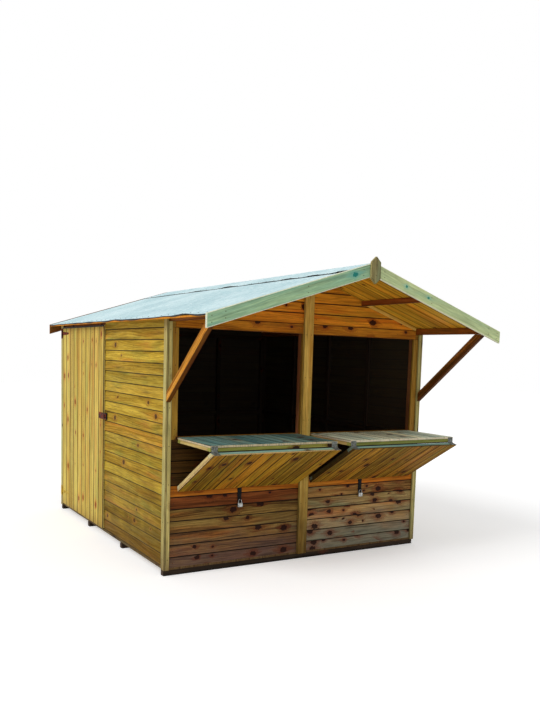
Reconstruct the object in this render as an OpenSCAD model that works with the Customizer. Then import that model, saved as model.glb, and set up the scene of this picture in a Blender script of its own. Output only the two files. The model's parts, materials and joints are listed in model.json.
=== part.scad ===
// Wooden market stall: a framed and boarded hut with two serving hatches
// under a deep front canopy, and a ledged door in its left side.
// Millimetres. +X runs to the right along the front, +Y from the front to
// the back, +Z up. The origin is on the ground, under the middle of the roof.

/* [Hut] */
// Width of the hut over its corner boards
wall_w = 2340; // [2100:10:2700]
// Depth of the hut over its corner boards
wall_d = 2690; // [2500:10:3000]
// Height of the underside of the eave beams
plate_h = 1818; // [1790:1:2000]
// Thickness of the wall boards
clad_t = 14; // [10:1:18]
// Depth of the wall frames, from the boards to the inside
frame_t = 42; // [34:1:44]
// Width of a stud or a rail
stud_w = 42; // [30:1:45]
// Thickness of the corner boards
trim_t = 12; // [10:1:16]
// Width of a corner board on the front, edge included
trim_front_w = 43; // [34:1:60]
// Width of a corner board on a side
trim_side_w = 58; // [40:1:75]

/* [Floor] */
// Height of the bearers that run from side to side
bearer_h = 42; // [35:1:60]
// Width of a bearer
bearer_w = 48; // [40:1:70]
// Set-back of the bearers from the walls' edges
bearer_in = 4; // [0:1:20]
// Number of bearers
bearer_n = 4; // [3:1:6]
// Thickness of the floor
floor_t = 16; // [12:1:25]

/* [Serving openings] */
// Height of the top of the wall under the openings
sill_h = 985; // [940:1:1040]
// Height of the head of the openings
head_h = 1777; // [1700:1:1785]
// Width of the framing between the two openings
centre_w = 100; // [96:1:160]
// Width of the corner beside an opening, corner board included
corner_w = 95; // [90:1:120]
// Thickness of the sill boards
sill_t = 18; // [14:1:20]
// How far the sill boards run past the frame on the inside
sill_in = 6; // [0:1:40]
// Height of the board over the openings
head_board_h = 74; // [60:1:90]
// Width of the cover post in the middle of the front
post_w = 84; // [70:1:92]
// Thickness of the cover post
post_t = 20; // [16:1:24]

/* [Hatches] */
// How far the counters stand out from the corner boards
counter_out = 520; // [420:1:600]
// Gap between the two counters
counter_gap = 114; // [106:1:140]
// Set-back of a counter from the outer side of its opening
counter_side = 2; // [0:1:20]
// Thickness of the hatch boards
hatch_board_t = 14; // [12:1:18]
// Thickness of the battens behind the hatch boards
hatch_batten_t = 26; // [18:1:30]
// Width of a hatch batten
hatch_batten_w = 44; // [35:1:60]
// Height at which the props meet the wall, on their inner side
prop_foot_h = 647; // [560:1:720]
// Gap between a counter and the upper edge of its prop, which the hinges fill
prop_gap = 6; // [4.5:0.5:8]
// Set-back of a prop's upper edge behind the counter's edge
prop_set = 2; // [0:0.5:4]
// Slant of a prop's upper end in degrees from square, so that it lies almost level
prop_bevel = 45; // [38:1:50]

/* [Roof] */
// Slope of the roof in degrees
pitch = 18.2; // [14:0.1:26]
// How far the roof stands out past the corner boards at the eaves
eave_over = 76; // [50:1:120]
// How far the roof boards run out over the front
front_over = 770; // [680:1:900]
// How far the roof boards run out over the back
rear_over = 120; // [60:1:200]
// Thickness of the roof boards
roof_t = 12; // [10:1:18]
// Thickness of the roofing felt
felt_t = 3; // [2:0.5:4]
// How far the felt runs out past the roof boards at the eaves
felt_edge = 4; // [2:1:12]
// Distance of the felt's lap from the ridge, along the level
felt_lap = 270; // [150:10:600]
// Width of an eave beam
beam_w = 44; // [38:1:50]
// Height of an eave beam at its outer side
beam_h = 38; // [34:1:60]
// Width of a purlin
purlin_w = 44; // [34:1:60]
// Height of a purlin
purlin_h = 34; // [28:1:60]
// Distance of the purlins from the ridge, along the level
purlin_x = 530; // [450:5:650]
// Depth of the barge boards, square to the roof
barge_d = 88; // [70:1:120]
// Thickness of the barge boards
barge_t = 20; // [16:1:26]
// How far the barge boards stand above the felt
barge_up = 5; // [2:1:12]
// Width of the finial
finial_w = 77; // [60:1:100]
// Height of the finial
finial_h = 186; // [150:1:240]
// Height of the finial's points
finial_point = 38; // [20:1:50]
// Thickness of the finial
finial_t = 22; // [16:1:30]

/* [Canopy braces] */
// Height of a brace's lower edge where it meets the corner
brace_foot_h = 1251; // [1150:1:1330]
// Slope of the braces in degrees
brace_pitch = 38; // [35:1:42]
// Depth of a brace
brace_d = 60; // [50:1:80]
// Thickness of a brace
brace_t = 32; // [26:1:40]

/* [Door] */
// Length of the boarded wall between the front corner and the door
panel_d = 1366; // [1200:2:1500]
// Gap round the door
door_gap = 6; // [6:1:10]
// Gap under the door
door_foot = 8; // [6:1:14]
// Thickness of the door boards
door_t = 14; // [12:1:16]
// Thickness of the ledges and braces on the inside of the door
ledge_t = 20; // [16:1:22]
// Width of the ledges
ledge_w = 95; // [70:1:120]
// Set-back of the ledges' ends from the studs beside the doorway
ledge_in = 30; // [20:1:60]
// Distance of the top ledge below the upper hinge, middle to middle
ledge_drop = 25; // [0:1:60]
// Length of a door brace's foot on its ledge
door_brace_w = 124; // [90:1:160]
// Height of the middle of the lower hinge
hinge_low = 190; // [160:1:260]
// Distance of the middle of the upper hinge from the door's top edge
hinge_drop = 62; // [52:1:140]
// Height of the middle of the hasp
hasp_h = 1045; // [950:1:1150]

/* [Ironwork] */
// Thickness of hinge and hasp plates
plate_t = 3; // [2:0.5:4]
// Length of a door hinge's strap
strap_len = 205; // [150:1:300]
// Width of a strap at its knuckle
strap_w = 34; // [28:1:45]
// Radius of a strap's round end
strap_end_r = 9; // [6:0.5:14]
// Radius of a door hinge's knuckle
knuckle_r = 6; // [5:0.5:8]
// Radius of a door hinge's pin
pin_r = 3; // [2.5:0.25:3.5]
// Height of a jamb plate's knuckle, of which there are two to a hinge
jamb_knuckle_h = 14; // [10:1:20]
// How far a pin goes into each of them
pin_in = 7; // [5:1:10]
// Gap between a strap's knuckle and those of the jamb plate
knuckle_gap = 0.5; // [0.3:0.1:1]
// Set-back of a jamb plate from the far edge of its corner board
jamb_plate_in = 6; // [2:1:10]
// Length of a door hinge's jamb plate
jamb_plate_h = 96; // [80:1:120]
// Radius of a hatch hinge's barrel
hatch_barrel_r = 4; // [3.5:0.25:4.25]
// Length of a hatch hinge
hatch_hinge_w = 46; // [36:1:80]
// Distance of a hatch hinge from the end of its counter
hatch_hinge_in = 6; // [2:1:60]
// Thickness of a hatch hinge's leaves
hatch_leaf_t = 2.5; // [1.5:0.25:3]
// Margin between a hatch hinge's leaf and the edge that it is screwed to
hatch_leaf_in = 3; // [2:0.5:6]
// Width of a hasp plate on the wall
hasp_w = 36; // [28:1:46]
// Length of a hasp plate on the wall
hasp_len = 118; // [100:1:130]
// How much narrower a hasp plate is on each side at its foot
hasp_taper = 3; // [0:0.5:6]
// Gap between a hasp plate and the prop over it
hasp_gap = 4; // [3:1:10]
// Height of a staple above the foot of its hasp plate
lock_up = 34; // [30:1:60]
// Width of the door's hasp
door_hasp_w = 54; // [44:1:64]
// How far the door's hasp reaches past the middle of its staple
door_hasp_end = 22; // [16:1:30]
// How far the door's hasp runs on over the door
door_hasp_tail = 120; // [80:1:160]
// Length of the slot in the door's hasp
slot_h = 36; // [32:1:44]
// Width of the slot in the door's hasp
slot_w = 18; // [14:1:24]
// Distance of the door's staple from the doorway
staple_in = 45; // [36:1:60]
// Width of the plate under the door's staple
staple_plate_w = 40; // [30:1:50]
// Height of the plate under the door's staple
staple_plate_h = 60; // [44:1:80]
// How far a staple stands out
staple_out = 20; // [18:1:26]
// Height of a staple between the middles of its legs
staple_h = 20; // [16:1:24]
// Radius of a staple's wire
staple_r = 2.5; // [2:0.25:3]
// Width of a padlock's body
lock_w = 38; // [30:1:44]
// Thickness of a padlock's body
lock_t = 14; // [10:1:16]
// Height of a padlock's body
lock_h = 30; // [26:1:40]
// Radius of the corners of a padlock's body
lock_round = 4; // [2:0.5:6]
// Set-back of a shackle's legs from the sides of its body, to their middles
shackle_set = 6; // [5:0.5:9]
// Length of a shackle's straight legs
shackle_leg = 12; // [8:1:20]
// Radius of a padlock's shackle
shackle_r = 2.5; // [2:0.25:3]

/* [Hidden] */
$fn = 48;

// Gap left where two pieces seat on each other
seat = 0.2;
// Running gap between a hinge's pin and its knuckle
pin_play = 0.35;

// Plan: planes of the corner boards and of the wall boards
front_ext = front_over + barge_t + finial_t;
rear_ext = rear_over + barge_t;
y_f = front_ext - (front_ext + wall_d + rear_ext) / 2;
y_b = y_f + wall_d;
x_t = wall_w / 2;
x_c = x_t - trim_t;
x_i = x_c - clad_t;
y_fc = y_f + trim_t;
y_fi = y_fc + clad_t;
y_bc = y_b - trim_t;
y_bi = y_bc - clad_t;
floor_z = bearer_h + floor_t;

// Side frames are two thirds as deep as the front frame, so that the eave beams cover both
side_t = frame_t * 2 / 3;
x_s = x_i - side_t;

// Roof: the underside of its boards lies on the outer top edge of the eave beams
slope = tan(pitch);
up = 1 / cos(pitch);
ridge_under = plate_h + beam_h + seat + x_i * slope;
roof_x = x_t + eave_over;
y_r0 = y_f - front_over;
y_r1 = y_b + rear_over;
function under(x) = ridge_under - abs(x) * slope;
function boards_top(x) = under(x) + roof_t * up;
function felt_low(x) = boards_top(x) + seat;
function felt_top(x) = felt_low(x) + felt_t * up;
function barge_top(x) = felt_top(x) + barge_up;

// Openings of the front
open_in = centre_w / 2;
open_out = x_t - corner_w;
counter_in = counter_gap / 2;
counter_ext = open_out - counter_side;
counter_z = sill_h + sill_t;
hatch_t = hatch_board_t + hatch_batten_t;
counter_low = counter_z - hatch_t;
counter_y0 = y_f - counter_out;
counter_y1 = y_fc - seat;

// Props: from the wall up to just under the counter's lower front edge
prop_y = counter_y0 + prop_set;
prop_z = counter_low - prop_gap;
prop_dy = y_fc - seat - prop_y;
prop_dz = prop_z - prop_foot_h;
prop_a = atan2(prop_dz, prop_dy);
prop_len = sqrt(prop_dy * prop_dy + prop_dz * prop_dz);

// A prop's upper end: its fall below level, its length, and a point s along it and n above it
end_a = 90 - prop_a - prop_bevel;
end_len = hatch_t / cos(prop_bevel);
function on_end(s, n) = [prop_y - s * cos(end_a) - n * sin(end_a), prop_z - s * sin(end_a) + n * cos(end_a)];

// Door
door_y0 = y_f + panel_d + door_gap;
door_y1 = y_b - trim_side_w - door_gap;
door_z0 = floor_z + door_foot;
door_top = under(roof_x) - door_gap;
door_x0 = -x_t;
hinge_x = -x_t - knuckle_r - seat;
hinge_high = door_top - hinge_drop;
hinge_y = (door_y1 + y_b - trim_side_w) / 2;

// Beam between two corners
module bar(x0, x1, y0, y1, z0, z1) { translate([x0, y0, z0]) cube([x1 - x0, y1 - y0, z1 - z0]); }

// Profile in X and Z, carried along Y from y0 to y1
module along_y(y0, y1) { translate([0, y1, 0]) rotate([90, 0, 0]) linear_extrude(y1 - y0) children(); }

// Profile in Y and Z, carried along X from x0 to x1
module along_x(x0, x1) { translate([x0, 0, 0]) rotate([90, 0, 90]) linear_extrude(x1 - x0) children(); }

// The piece itself and its mirror image on the left
module both() { children(); mirror([1, 0, 0]) children(); }

// Places along the depth for the studs of a wall, ends included
function spread(a, b, n) = [for (i = [0:n - 1]) a + (b - a) * i / (n - 1)];

module bearers() {
    color("#4a4034")
    for (y = spread(y_fc + bearer_in, y_bc - bearer_in - bearer_w, bearer_n))
        bar(-x_t + bearer_in, x_t - bearer_in, y, y + bearer_w, 0, bearer_h);
}

module floor() { color("#b59a63") bar(-x_c, x_c, y_fc, y_bc, bearer_h, floor_z); }

// Boarded sides. The left one ends at the doorway.
module left_cladding() { color("#aa8c3c") bar(-x_c, -x_i, y_fi + seat, y_f + panel_d, floor_z, under(x_c) - seat); }
module right_cladding() { color("#a5863c") bar(x_i, x_c, y_fi + seat, y_bi - seat, floor_z, under(x_c) - seat); }

// Frame of a side: studs under the eave beam, and rails between them
module side_frame(ys) {
    for (y = ys) bar(x_s, x_i, y, y + stud_w, floor_z, plate_h - seat);
    for (i = [0:len(ys) - 2])
        for (z = [floor_z, (floor_z + plate_h) / 2])
            bar(x_s, x_i, ys[i] + stud_w + seat, ys[i + 1] - seat, z, z + stud_w);
}

module left_frame() {
    color("#b59a63") mirror([1, 0, 0]) {
        side_frame(spread(y_fi, y_f + panel_d - stud_w, 3));
        bar(x_s, x_i, y_b - trim_side_w, y_bi, floor_z, plate_h - seat);
    }
}

module right_frame() { color("#b59a63") side_frame(spread(y_fi, y_bi - stud_w, 5)); }

// Inner limit of the gables, which are cut back round the eave beams
gable_x = x_i - beam_w - seat;

// A gable's outline from a foot up to the roof boards, between the eave beams
module gable_outline(foot, top) {
    intersection() {
        translate([-gable_x, foot]) square([2 * gable_x, top - foot]);
        polygon([[-roof_x, 0], [roof_x, 0], [roof_x, under(roof_x) - seat], [0, under(0) - seat],
            [-roof_x, under(roof_x) - seat]]);
    }
}

// Notches for the purlins, cut from a gable's outline
module notched() {
    difference() {
        children();
        both() translate([purlin_x - purlin_w / 2 - seat, under(purlin_x) - purlin_h - seat])
            square([purlin_w + 2 * seat, purlin_h * 2]);
    }
}

module rear_cladding() {
    color("#a5863c") along_y(y_bi, y_bc) notched() union() {
        translate([-x_c, floor_z]) square([2 * x_c, plate_h - seat - floor_z]);
        gable_outline(floor_z, under(0));
    }
}

module rear_frame() {
    xs = spread(-x_s + seat, x_s - stud_w - seat, 5);
    color("#b59a63") {
        for (x = xs) bar(x, x + stud_w, y_bi - frame_t, y_bi, floor_z, plate_h - stud_w - seat);
        for (i = [0:len(xs) - 2])
            for (z = [floor_z, (floor_z + plate_h) / 2])
                bar(xs[i] + stud_w + seat, xs[i + 1] - seat, y_bi - frame_t, y_bi, z, z + stud_w);
        bar(-x_s + seat, x_s - seat, y_bi - frame_t, y_bi, plate_h - stud_w, plate_h - seat);
    }
}

// Front: boards under the openings, framing, gable and cover boards
module front_cladding() { color("#82603c") both() bar(seat, x_c, y_fc, y_fi, floor_z, sill_h); }

// Top of what stands beside the openings, under their head or under the eave beams
jamb_top = min(head_h, plate_h) - seat;
// Height of the rail over the openings, which fills the frame up to the eave beams
head_rail_h = head_h + stud_w > plate_h && head_h < plate_h ? plate_h - seat - head_h : stud_w;

module front_frame() {
    color("#b08a4a") {
        both() {
            bar(open_out, x_s - seat, y_fi, y_fi + frame_t, floor_z, plate_h - seat);
            bar(seat, open_in, y_fi, y_fi + frame_t, floor_z, under(open_in) - seat);
            for (z = [floor_z, sill_h - stud_w])
                bar(open_in + seat, open_out - seat, y_fi, y_fi + frame_t, z, z + stud_w);
        }
        along_y(y_fi, y_fi + frame_t) intersection() {
            gable_outline(head_h, head_h + head_rail_h);
            both() translate([open_in + seat, 0]) square([open_out - open_in - 2 * seat, under(0)]);
        }
    }
}

// The gable stands on the board over the openings
module front_gable() {
    color("#aa6e28") along_y(y_fc, y_fi) notched() gable_outline(head_h + head_board_h, under(0));
}

module head_board() {
    color("#c8b070") along_y(y_fc, y_fi) gable_outline(head_h, head_h + head_board_h - seat);
}

module jamb_boards() {
    color("#c3a860") both() {
        bar(seat, open_in, y_fc, y_fi, sill_h + seat, head_h - seat);
        bar(open_out, x_c, y_fc, y_fi, sill_h + seat, jamb_top);
        if (head_h < plate_h) bar(gable_x + seat, x_c, y_fc, y_fi, head_h, plate_h - seat);
    }
}

module sills() {
    color("#b59a63") both()
        bar(open_in + seat, open_out - seat, y_fc, y_fi + frame_t + sill_in, sill_h + seat, counter_z);
}

module centre_post() {
    color("#c8b878") along_y(y_fc - post_t, y_fc)
        polygon([[-post_w / 2, bearer_h], [post_w / 2, bearer_h], [post_w / 2, under(post_w / 2) - seat],
            [0, under(0) - seat], [-post_w / 2, under(post_w / 2) - seat]]);
}

module front_corner_boards() {
    color("#c3b978") both() bar(x_t - trim_front_w, x_c, y_f, y_fc, bearer_h, plate_h - seat);
}

module rear_corner_boards() {
    color("#c3b978") both() bar(x_t - trim_front_w, x_c, y_bc, y_b, bearer_h, plate_h - seat);
}

module side_corner_boards() {
    color("#c3b978") both() {
        bar(x_c, x_t, y_f, y_f + trim_side_w, bearer_h, under(x_t) - seat);
        bar(x_c, x_t, y_b - trim_side_w, y_b, bearer_h, under(x_t) - seat);
    }
}

// Roof timbers, bevelled to the slope of the roof boards
module eave_beams() {
    x0 = x_i - beam_w;
    color("#8c5a28") both() along_y(y_r0, y_r1)
        polygon([[x0, plate_h], [x_i, plate_h], [x_i, under(x_i) - seat], [x0, under(x0) - seat]]);
}

module purlins() {
    x0 = purlin_x - purlin_w / 2;
    x1 = purlin_x + purlin_w / 2;
    z0 = under(purlin_x) - purlin_h;
    color("#7a3c1e") both() along_y(y_r0, y_r1)
        polygon([[x0, z0], [x1, z0], [x1, under(x1) - seat], [x0, under(x0) - seat]]);
}

// One side of the roof, from x0 to x1, between two heights given at the ridge
module slope_outline(x0, x1, low, high) {
    polygon([[x0, low - x0 * slope], [x1, low - x1 * slope], [x1, high - x1 * slope], [x0, high - x0 * slope]]);
}

module roof_boards() { along_y(y_r0, y_r1) slope_outline(seat / 2, roof_x, ridge_under, boards_top(0)); }
module roof_boards_right() { color("#8c5f23") roof_boards(); }
module roof_boards_left() { color("#8c5f23") mirror([1, 0, 0]) roof_boards(); }

// Felt: a sheet on each slope, and a wide strip lapped over both at the ridge
module felt() { along_y(y_r0, y_r1) slope_outline(seat / 2, roof_x + felt_edge, felt_low(0), felt_top(0)); }
module felt_right() { color("#c8e1e1") felt(); }
module felt_left() { color("#c8e1e1") mirror([1, 0, 0]) felt(); }
module felt_ridge() {
    color("#cfe6e4") both() along_y(y_r0, y_r1)
        slope_outline(seat / 2, felt_lap, felt_top(0) + seat, felt_top(0) + seat + felt_t * up);
}

// Barge boards with plumb ends, meeting on the ridge line
module barge_boards(y0) {
    both() along_y(y0, y0 + barge_t)
        slope_outline(seat / 2, roof_x + felt_edge, barge_top(0) - barge_d * up, barge_top(0));
}
module front_barge_boards() { color("#96a582") barge_boards(y_r0 - barge_t); }
module rear_barge_boards() { color("#8c6a3c") barge_boards(y_r1); }

// Finial: a board pointed at both ends over the barge boards' mitre
module finial() {
    z1 = barge_top(0) + finial_point;
    z0 = z1 - finial_h;
    w = finial_w / 2;
    color("#96a582") along_y(y_r0 - barge_t - finial_t, y_r0 - barge_t)
        polygon([[0, z0], [w, z0 + finial_point], [w, z1 - finial_point], [0, z1],
            [-w, z1 - finial_point], [-w, z0 + finial_point]]);
}

// Braces from the front corners up to the eave beams, level under the beams
module canopy_braces() {
    rise = tan(brace_pitch);
    top = plate_h - seat;
    high = brace_foot_h + brace_d / cos(brace_pitch);
    color("#aa6428") both() along_x(x_t - brace_t, x_t)
        polygon([[y_f, brace_foot_h], [y_f, high], [y_f - (top - high) / rise, top],
            [y_f - (top - brace_foot_h) / rise, top]]);
}

// Hatches: boards running from back to front on a frame of battens
module counter_boards() {
    color("#6e8782") both()
        bar(counter_in, counter_ext, counter_y0, counter_y1, counter_z - hatch_board_t, counter_z);
}

// Battens round the edge of a panel of w by d, with a gap at each joint. The first one's edge
// may slant, to run on a bevelled end.
module batten_ring(w, d, t, bevel = 0) {
    b = hatch_batten_w;
    along_x(0, w) polygon([[0, t], [-t * tan(bevel), 0], [b, 0], [b, t]]);
    bar(0, w, d - b, d, 0, t);
    bar(0, b, b + seat, d - b - seat, 0, t);
    bar(w - b, w, b + seat, d - b - seat, 0, t);
}

module counter_battens() {
    color("#8a7d3c") both() translate([counter_in, counter_y0, counter_low])
        batten_ring(counter_ext - counter_in, counter_y1 - counter_y0, hatch_batten_t);
}

// A prop's own frame: X along its width, Y from its top to its foot, Z into the room below the counter
module prop_place() {
    both() translate([counter_in, y_fc - seat, prop_foot_h]) rotate([-prop_a, 0, 0])
        translate([0, -prop_len, 0]) children();
}

module prop_boards() {
    slant = tan(prop_bevel);
    color("#7d5f1e") prop_place() along_x(0, counter_ext - counter_in)
        polygon([[-hatch_batten_t * slant, -hatch_batten_t], [-hatch_t * slant, -hatch_t],
            [prop_len, -hatch_t], [prop_len, -hatch_batten_t]]);
}

module prop_battens() {
    color("#8fa08a") prop_place() translate([0, 0, -hatch_batten_t])
        batten_ring(counter_ext - counter_in, prop_len, hatch_batten_t, prop_bevel);
}

// Hinge in the corner between a counter's front edge and the end of its prop, with a leaf on each
module hatch_hinge() {
    r = hatch_barrel_r;
    t = hatch_leaf_t;
    s0 = (prop_set + (r + seat) * (1 - sin(end_a))) / cos(end_a);
    s1 = end_len - hatch_leaf_in;
    barrel = on_end(s0, r + seat);
    translate([0, barrel[0], barrel[1]]) rotate([0, 90, 0]) cylinder(r = r, h = hatch_hinge_w);
    bar(0, hatch_hinge_w, counter_y0 - seat - t, counter_y0 - seat, barrel[1], counter_z - hatch_leaf_in);
    along_x(0, hatch_hinge_w)
        polygon([on_end(s0, seat), on_end(s1, seat), on_end(s1, seat + t), on_end(s0, seat + t)]);
}

module hatch_hinges() {
    color("#b9bdc0") both()
        for (x = [counter_in + hatch_hinge_in, counter_ext - hatch_hinge_in - hatch_hinge_w])
            translate([x, 0, 0]) hatch_hinge();
}

// Staple: two legs standing out along -Y from the origin, and a bar across their ends
module staple() {
    for (z = [-staple_h / 2, staple_h / 2])
        translate([0, 0, z]) rotate([90, 0, 0]) cylinder(r = staple_r, h = staple_out);
    translate([0, -staple_out, -staple_h / 2 - staple_r]) cylinder(r = staple_r, h = staple_h + 2 * staple_r);
}

// Hasp plates on the wall under the middle of each prop, with a staple on each
hatch_mid = (counter_in + counter_ext) / 2;
hasp_top = prop_foot_h - hatch_t * cos(prop_a) - hasp_gap;
lock_z = hasp_top - hasp_len + lock_up;
module hatch_hasps() {
    r = hasp_w / 2 - hasp_taper;
    color("#2c2c2e") both() translate([hatch_mid, y_fc - seat, 0]) {
        along_y(-plate_t, 0) union() {
            polygon([[-r, hasp_top - hasp_len + r], [r, hasp_top - hasp_len + r], [hasp_w / 2, hasp_top],
                [-hasp_w / 2, hasp_top]]);
            translate([0, hasp_top - hasp_len + r]) circle(r = r);
        }
        translate([0, -plate_t, lock_z]) staple();
    }
}

// Padlocks: a body with rounded corners, hanging by its shackle on the staple's lower leg
module padlocks() {
    r = lock_w / 2 - shackle_set;
    c = lock_z - staple_h / 2 + staple_r + seat + shackle_r - r;
    color("#c6c8ca") both() translate([hatch_mid, y_fc - seat - plate_t - staple_out / 2, c]) {
        rotate([90, 0, 0]) rotate_extrude(angle = 180) translate([r, 0]) circle(r = shackle_r);
        for (s = [-1, 1]) translate([s * r, 0, -shackle_leg]) cylinder(r = shackle_r, h = shackle_leg);
        along_y(-lock_t / 2, lock_t / 2) translate([0, -shackle_leg - lock_h]) hull()
            for (x = [-1, 1], z = [lock_round, lock_h - lock_round])
                translate([x * (lock_w / 2 - lock_round), z]) circle(r = lock_round);
    }
}

// Door: boards, ledges and braces behind them
module door_boards() {
    color("#c8af69") bar(door_x0, door_x0 + door_t, door_y0, door_y1, door_z0, door_top);
}

module door_ledges() {
    x0 = door_x0 + door_t;
    x1 = x0 + ledge_t;
    ya = door_y0 + stud_w + ledge_in;
    yb = door_y1 - stud_w - ledge_in;
    zs = [hinge_low, (hinge_low + hinge_high) / 2, hinge_high - ledge_drop];
    color("#b99c58") {
        for (z = zs) bar(x0, x1, ya, yb, z - ledge_w / 2, z + ledge_w / 2);
        for (i = [0, 1]) {
            a = zs[i] + ledge_w / 2 + seat;
            b = zs[i + 1] - ledge_w / 2 - seat;
            along_x(x0, x1) polygon([[yb - door_brace_w, a], [yb, a], [ya + door_brace_w, b], [ya, b]]);
        }
    }
}

// Places of the two door hinges
module at_hinges() { for (z = [hinge_low, hinge_high]) translate([hinge_x, hinge_y, z]) children(); }

knuckle_h = strap_w;
// Strap with a round end, tapering from its knuckle, which turns on the jamb's pin
module door_hinge_straps() {
    w = strap_w / 2;
    gap = door_x0 - seat - hinge_x;
    color("#5a3a26") at_hinges() difference() {
        union() {
            translate([gap - plate_t, 0, 0]) along_x(0, plate_t) union() {
                polygon([[0, -w], [0, w], [-strap_len + strap_end_r, strap_end_r],
                    [-strap_len + strap_end_r, -strap_end_r]]);
                translate([-strap_len + strap_end_r, 0]) circle(r = strap_end_r);
            }
            translate([0, 0, -knuckle_h / 2]) cylinder(r = knuckle_r, h = knuckle_h);
        }
        translate([0, 0, -knuckle_h]) cylinder(r = pin_r + pin_play, h = 2 * knuckle_h);
    }
}

// Plate on the corner board with a knuckle above and below, and the pin between them
module door_hinge_jambs() {
    k = knuckle_h / 2 + knuckle_gap;
    h = jamb_plate_h / 2;
    color("#5a3a26") at_hinges() {
        difference() {
            union() {
                translate([-hinge_x - x_t - seat - plate_t, 0, -h])
                    cube([plate_t, trim_side_w - jamb_plate_in, 2 * h]);
                for (s = [-1, 1])
                    translate([0, 0, s > 0 ? k : -k - jamb_knuckle_h]) cylinder(r = knuckle_r, h = jamb_knuckle_h);
            }
            translate([-20, -knuckle_r - 20, -k]) cube([40, knuckle_r * 2 + 20, 2 * k]);
            for (s = [-1, 1]) translate([-20, -knuckle_r - 20, s > 0 ? k + jamb_knuckle_h : -h - 1])
                cube([40, knuckle_r + 22, h - k - jamb_knuckle_h + 1]);
        }
        translate([0, 0, -k - pin_in]) cylinder(r = pin_r, h = 2 * k + 2 * pin_in);
    }
}

// Hasp on the door: a slotted strap that reaches over the staple on the wall
staple_y = y_f + panel_d - staple_in;
module door_hasp() {
    x = door_x0 - seat - plate_t;
    color("#6a3426") along_x(x, x + plate_t) difference() {
        translate([staple_y - door_hasp_end, hasp_h - door_hasp_w / 2])
            square([door_y0 - staple_y + door_hasp_end + door_hasp_tail, door_hasp_w]);
        translate([staple_y - slot_w / 2, hasp_h - slot_h / 2]) square([slot_w, slot_h]);
    }
}

// Staple on the wall boards, standing out through the hasp's slot
module door_staple() {
    color("#2c2c2e") translate([-x_c - seat, staple_y, hasp_h]) rotate([0, 0, -90]) {
        along_y(-plate_t, 0) translate([-staple_plate_w / 2, -staple_plate_h / 2])
            square([staple_plate_w, staple_plate_h]);
        translate([0, -plate_t, 0]) staple();
    }
}

bearers();
floor();
left_cladding();
left_frame();
right_cladding();
right_frame();
rear_cladding();
rear_frame();
front_cladding();
front_frame();
front_gable();
head_board();
jamb_boards();
sills();
centre_post();
front_corner_boards();
side_corner_boards();
rear_corner_boards();
eave_beams();
purlins();
roof_boards_left();
roof_boards_right();
felt_left();
felt_right();
felt_ridge();
front_barge_boards();
rear_barge_boards();
finial();
canopy_braces();
counter_boards();
counter_battens();
prop_boards();
prop_battens();
hatch_hinges();
hatch_hasps();
padlocks();
door_boards();
door_ledges();
door_hinge_straps();
door_hasp();
door_hinge_jambs();
door_staple();
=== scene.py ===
"""Looks of a boarded wooden market stall with a felted roof, let-down serving hatches and a side door."""
import json
import math
import random

import bmesh
import bpy
from mathutils import Matrix, Vector, noise


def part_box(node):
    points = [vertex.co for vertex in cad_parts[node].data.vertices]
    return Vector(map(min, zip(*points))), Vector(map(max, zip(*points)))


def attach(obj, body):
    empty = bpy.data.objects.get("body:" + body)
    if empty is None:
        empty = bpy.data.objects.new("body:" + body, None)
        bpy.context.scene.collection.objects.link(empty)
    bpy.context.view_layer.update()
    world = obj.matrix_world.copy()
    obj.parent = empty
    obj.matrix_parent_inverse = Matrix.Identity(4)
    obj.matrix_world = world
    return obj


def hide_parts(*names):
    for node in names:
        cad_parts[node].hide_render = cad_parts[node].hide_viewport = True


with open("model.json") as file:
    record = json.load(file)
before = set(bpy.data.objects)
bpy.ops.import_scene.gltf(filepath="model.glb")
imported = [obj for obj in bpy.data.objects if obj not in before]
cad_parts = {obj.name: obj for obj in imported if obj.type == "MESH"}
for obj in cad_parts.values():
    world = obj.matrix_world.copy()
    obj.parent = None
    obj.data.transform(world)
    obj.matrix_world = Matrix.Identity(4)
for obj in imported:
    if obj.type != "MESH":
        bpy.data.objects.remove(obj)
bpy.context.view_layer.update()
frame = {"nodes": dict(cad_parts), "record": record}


# Bearers
# Rough sawn treated timbers that lie across under the floor and carry the hut.
# They stand in the wet, so they are dark, with little grain left to see.
def linear(code):
    """Colour written as six hex digits, in the linear values that shaders take."""
    parts = [int(code[i:i + 2], 16) / 255 for i in (0, 2, 4)]
    return [p / 12.92 if p <= 0.04045 else ((p + 0.055) / 1.055) ** 2.4 for p in parts] + [1.0]


def wire(tree, kind, *feeds, give=None, by_name=None, **settings):
    """Add a node, feed its inputs in order or by name, and return one of its outputs."""
    made = tree.nodes.new(kind)
    for key, value in settings.items():
        setattr(made, key, value)
    inputs = [socket for socket in made.inputs if socket.enabled]
    pairs = list(zip(inputs, feeds))
    for name, feed in (by_name or {}).items():
        pairs.append((next(socket for socket in inputs if socket.name == name), feed))
    for socket, feed in pairs:
        if isinstance(feed, bpy.types.NodeSocket):
            tree.links.new(feed, socket)
        elif feed is not None:
            socket.default_value = feed
    outputs = [socket for socket in made.outputs if socket.enabled]
    return next((socket for socket in outputs if give in (None, socket.name)), None)


def maths(tree, operation, *feeds):
    return wire(tree, "ShaderNodeMath", *feeds, operation=operation)


def times(tree, *feeds):
    return maths(tree, "MULTIPLY", *feeds)


def plus(tree, *feeds):
    return maths(tree, "ADD", *feeds)


def minus(tree, *feeds):
    return maths(tree, "SUBTRACT", *feeds)


def vectors(tree, operation, *feeds, give=None):
    return wire(tree, "ShaderNodeVectorMath", *feeds, give=give, operation=operation)


def ramp(tree, value, low, high, start=0.0, end=1.0):
    """Smooth passage from start to end while the value goes from low to high."""
    return wire(tree, "ShaderNodeMapRange", value, low, high, start, end, interpolation_type="SMOOTHSTEP")


def mix(tree, factor, first, second, how="MIX"):
    return wire(tree, "ShaderNodeMix", factor, first, second, data_type="RGBA", blend_type=how)


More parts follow.
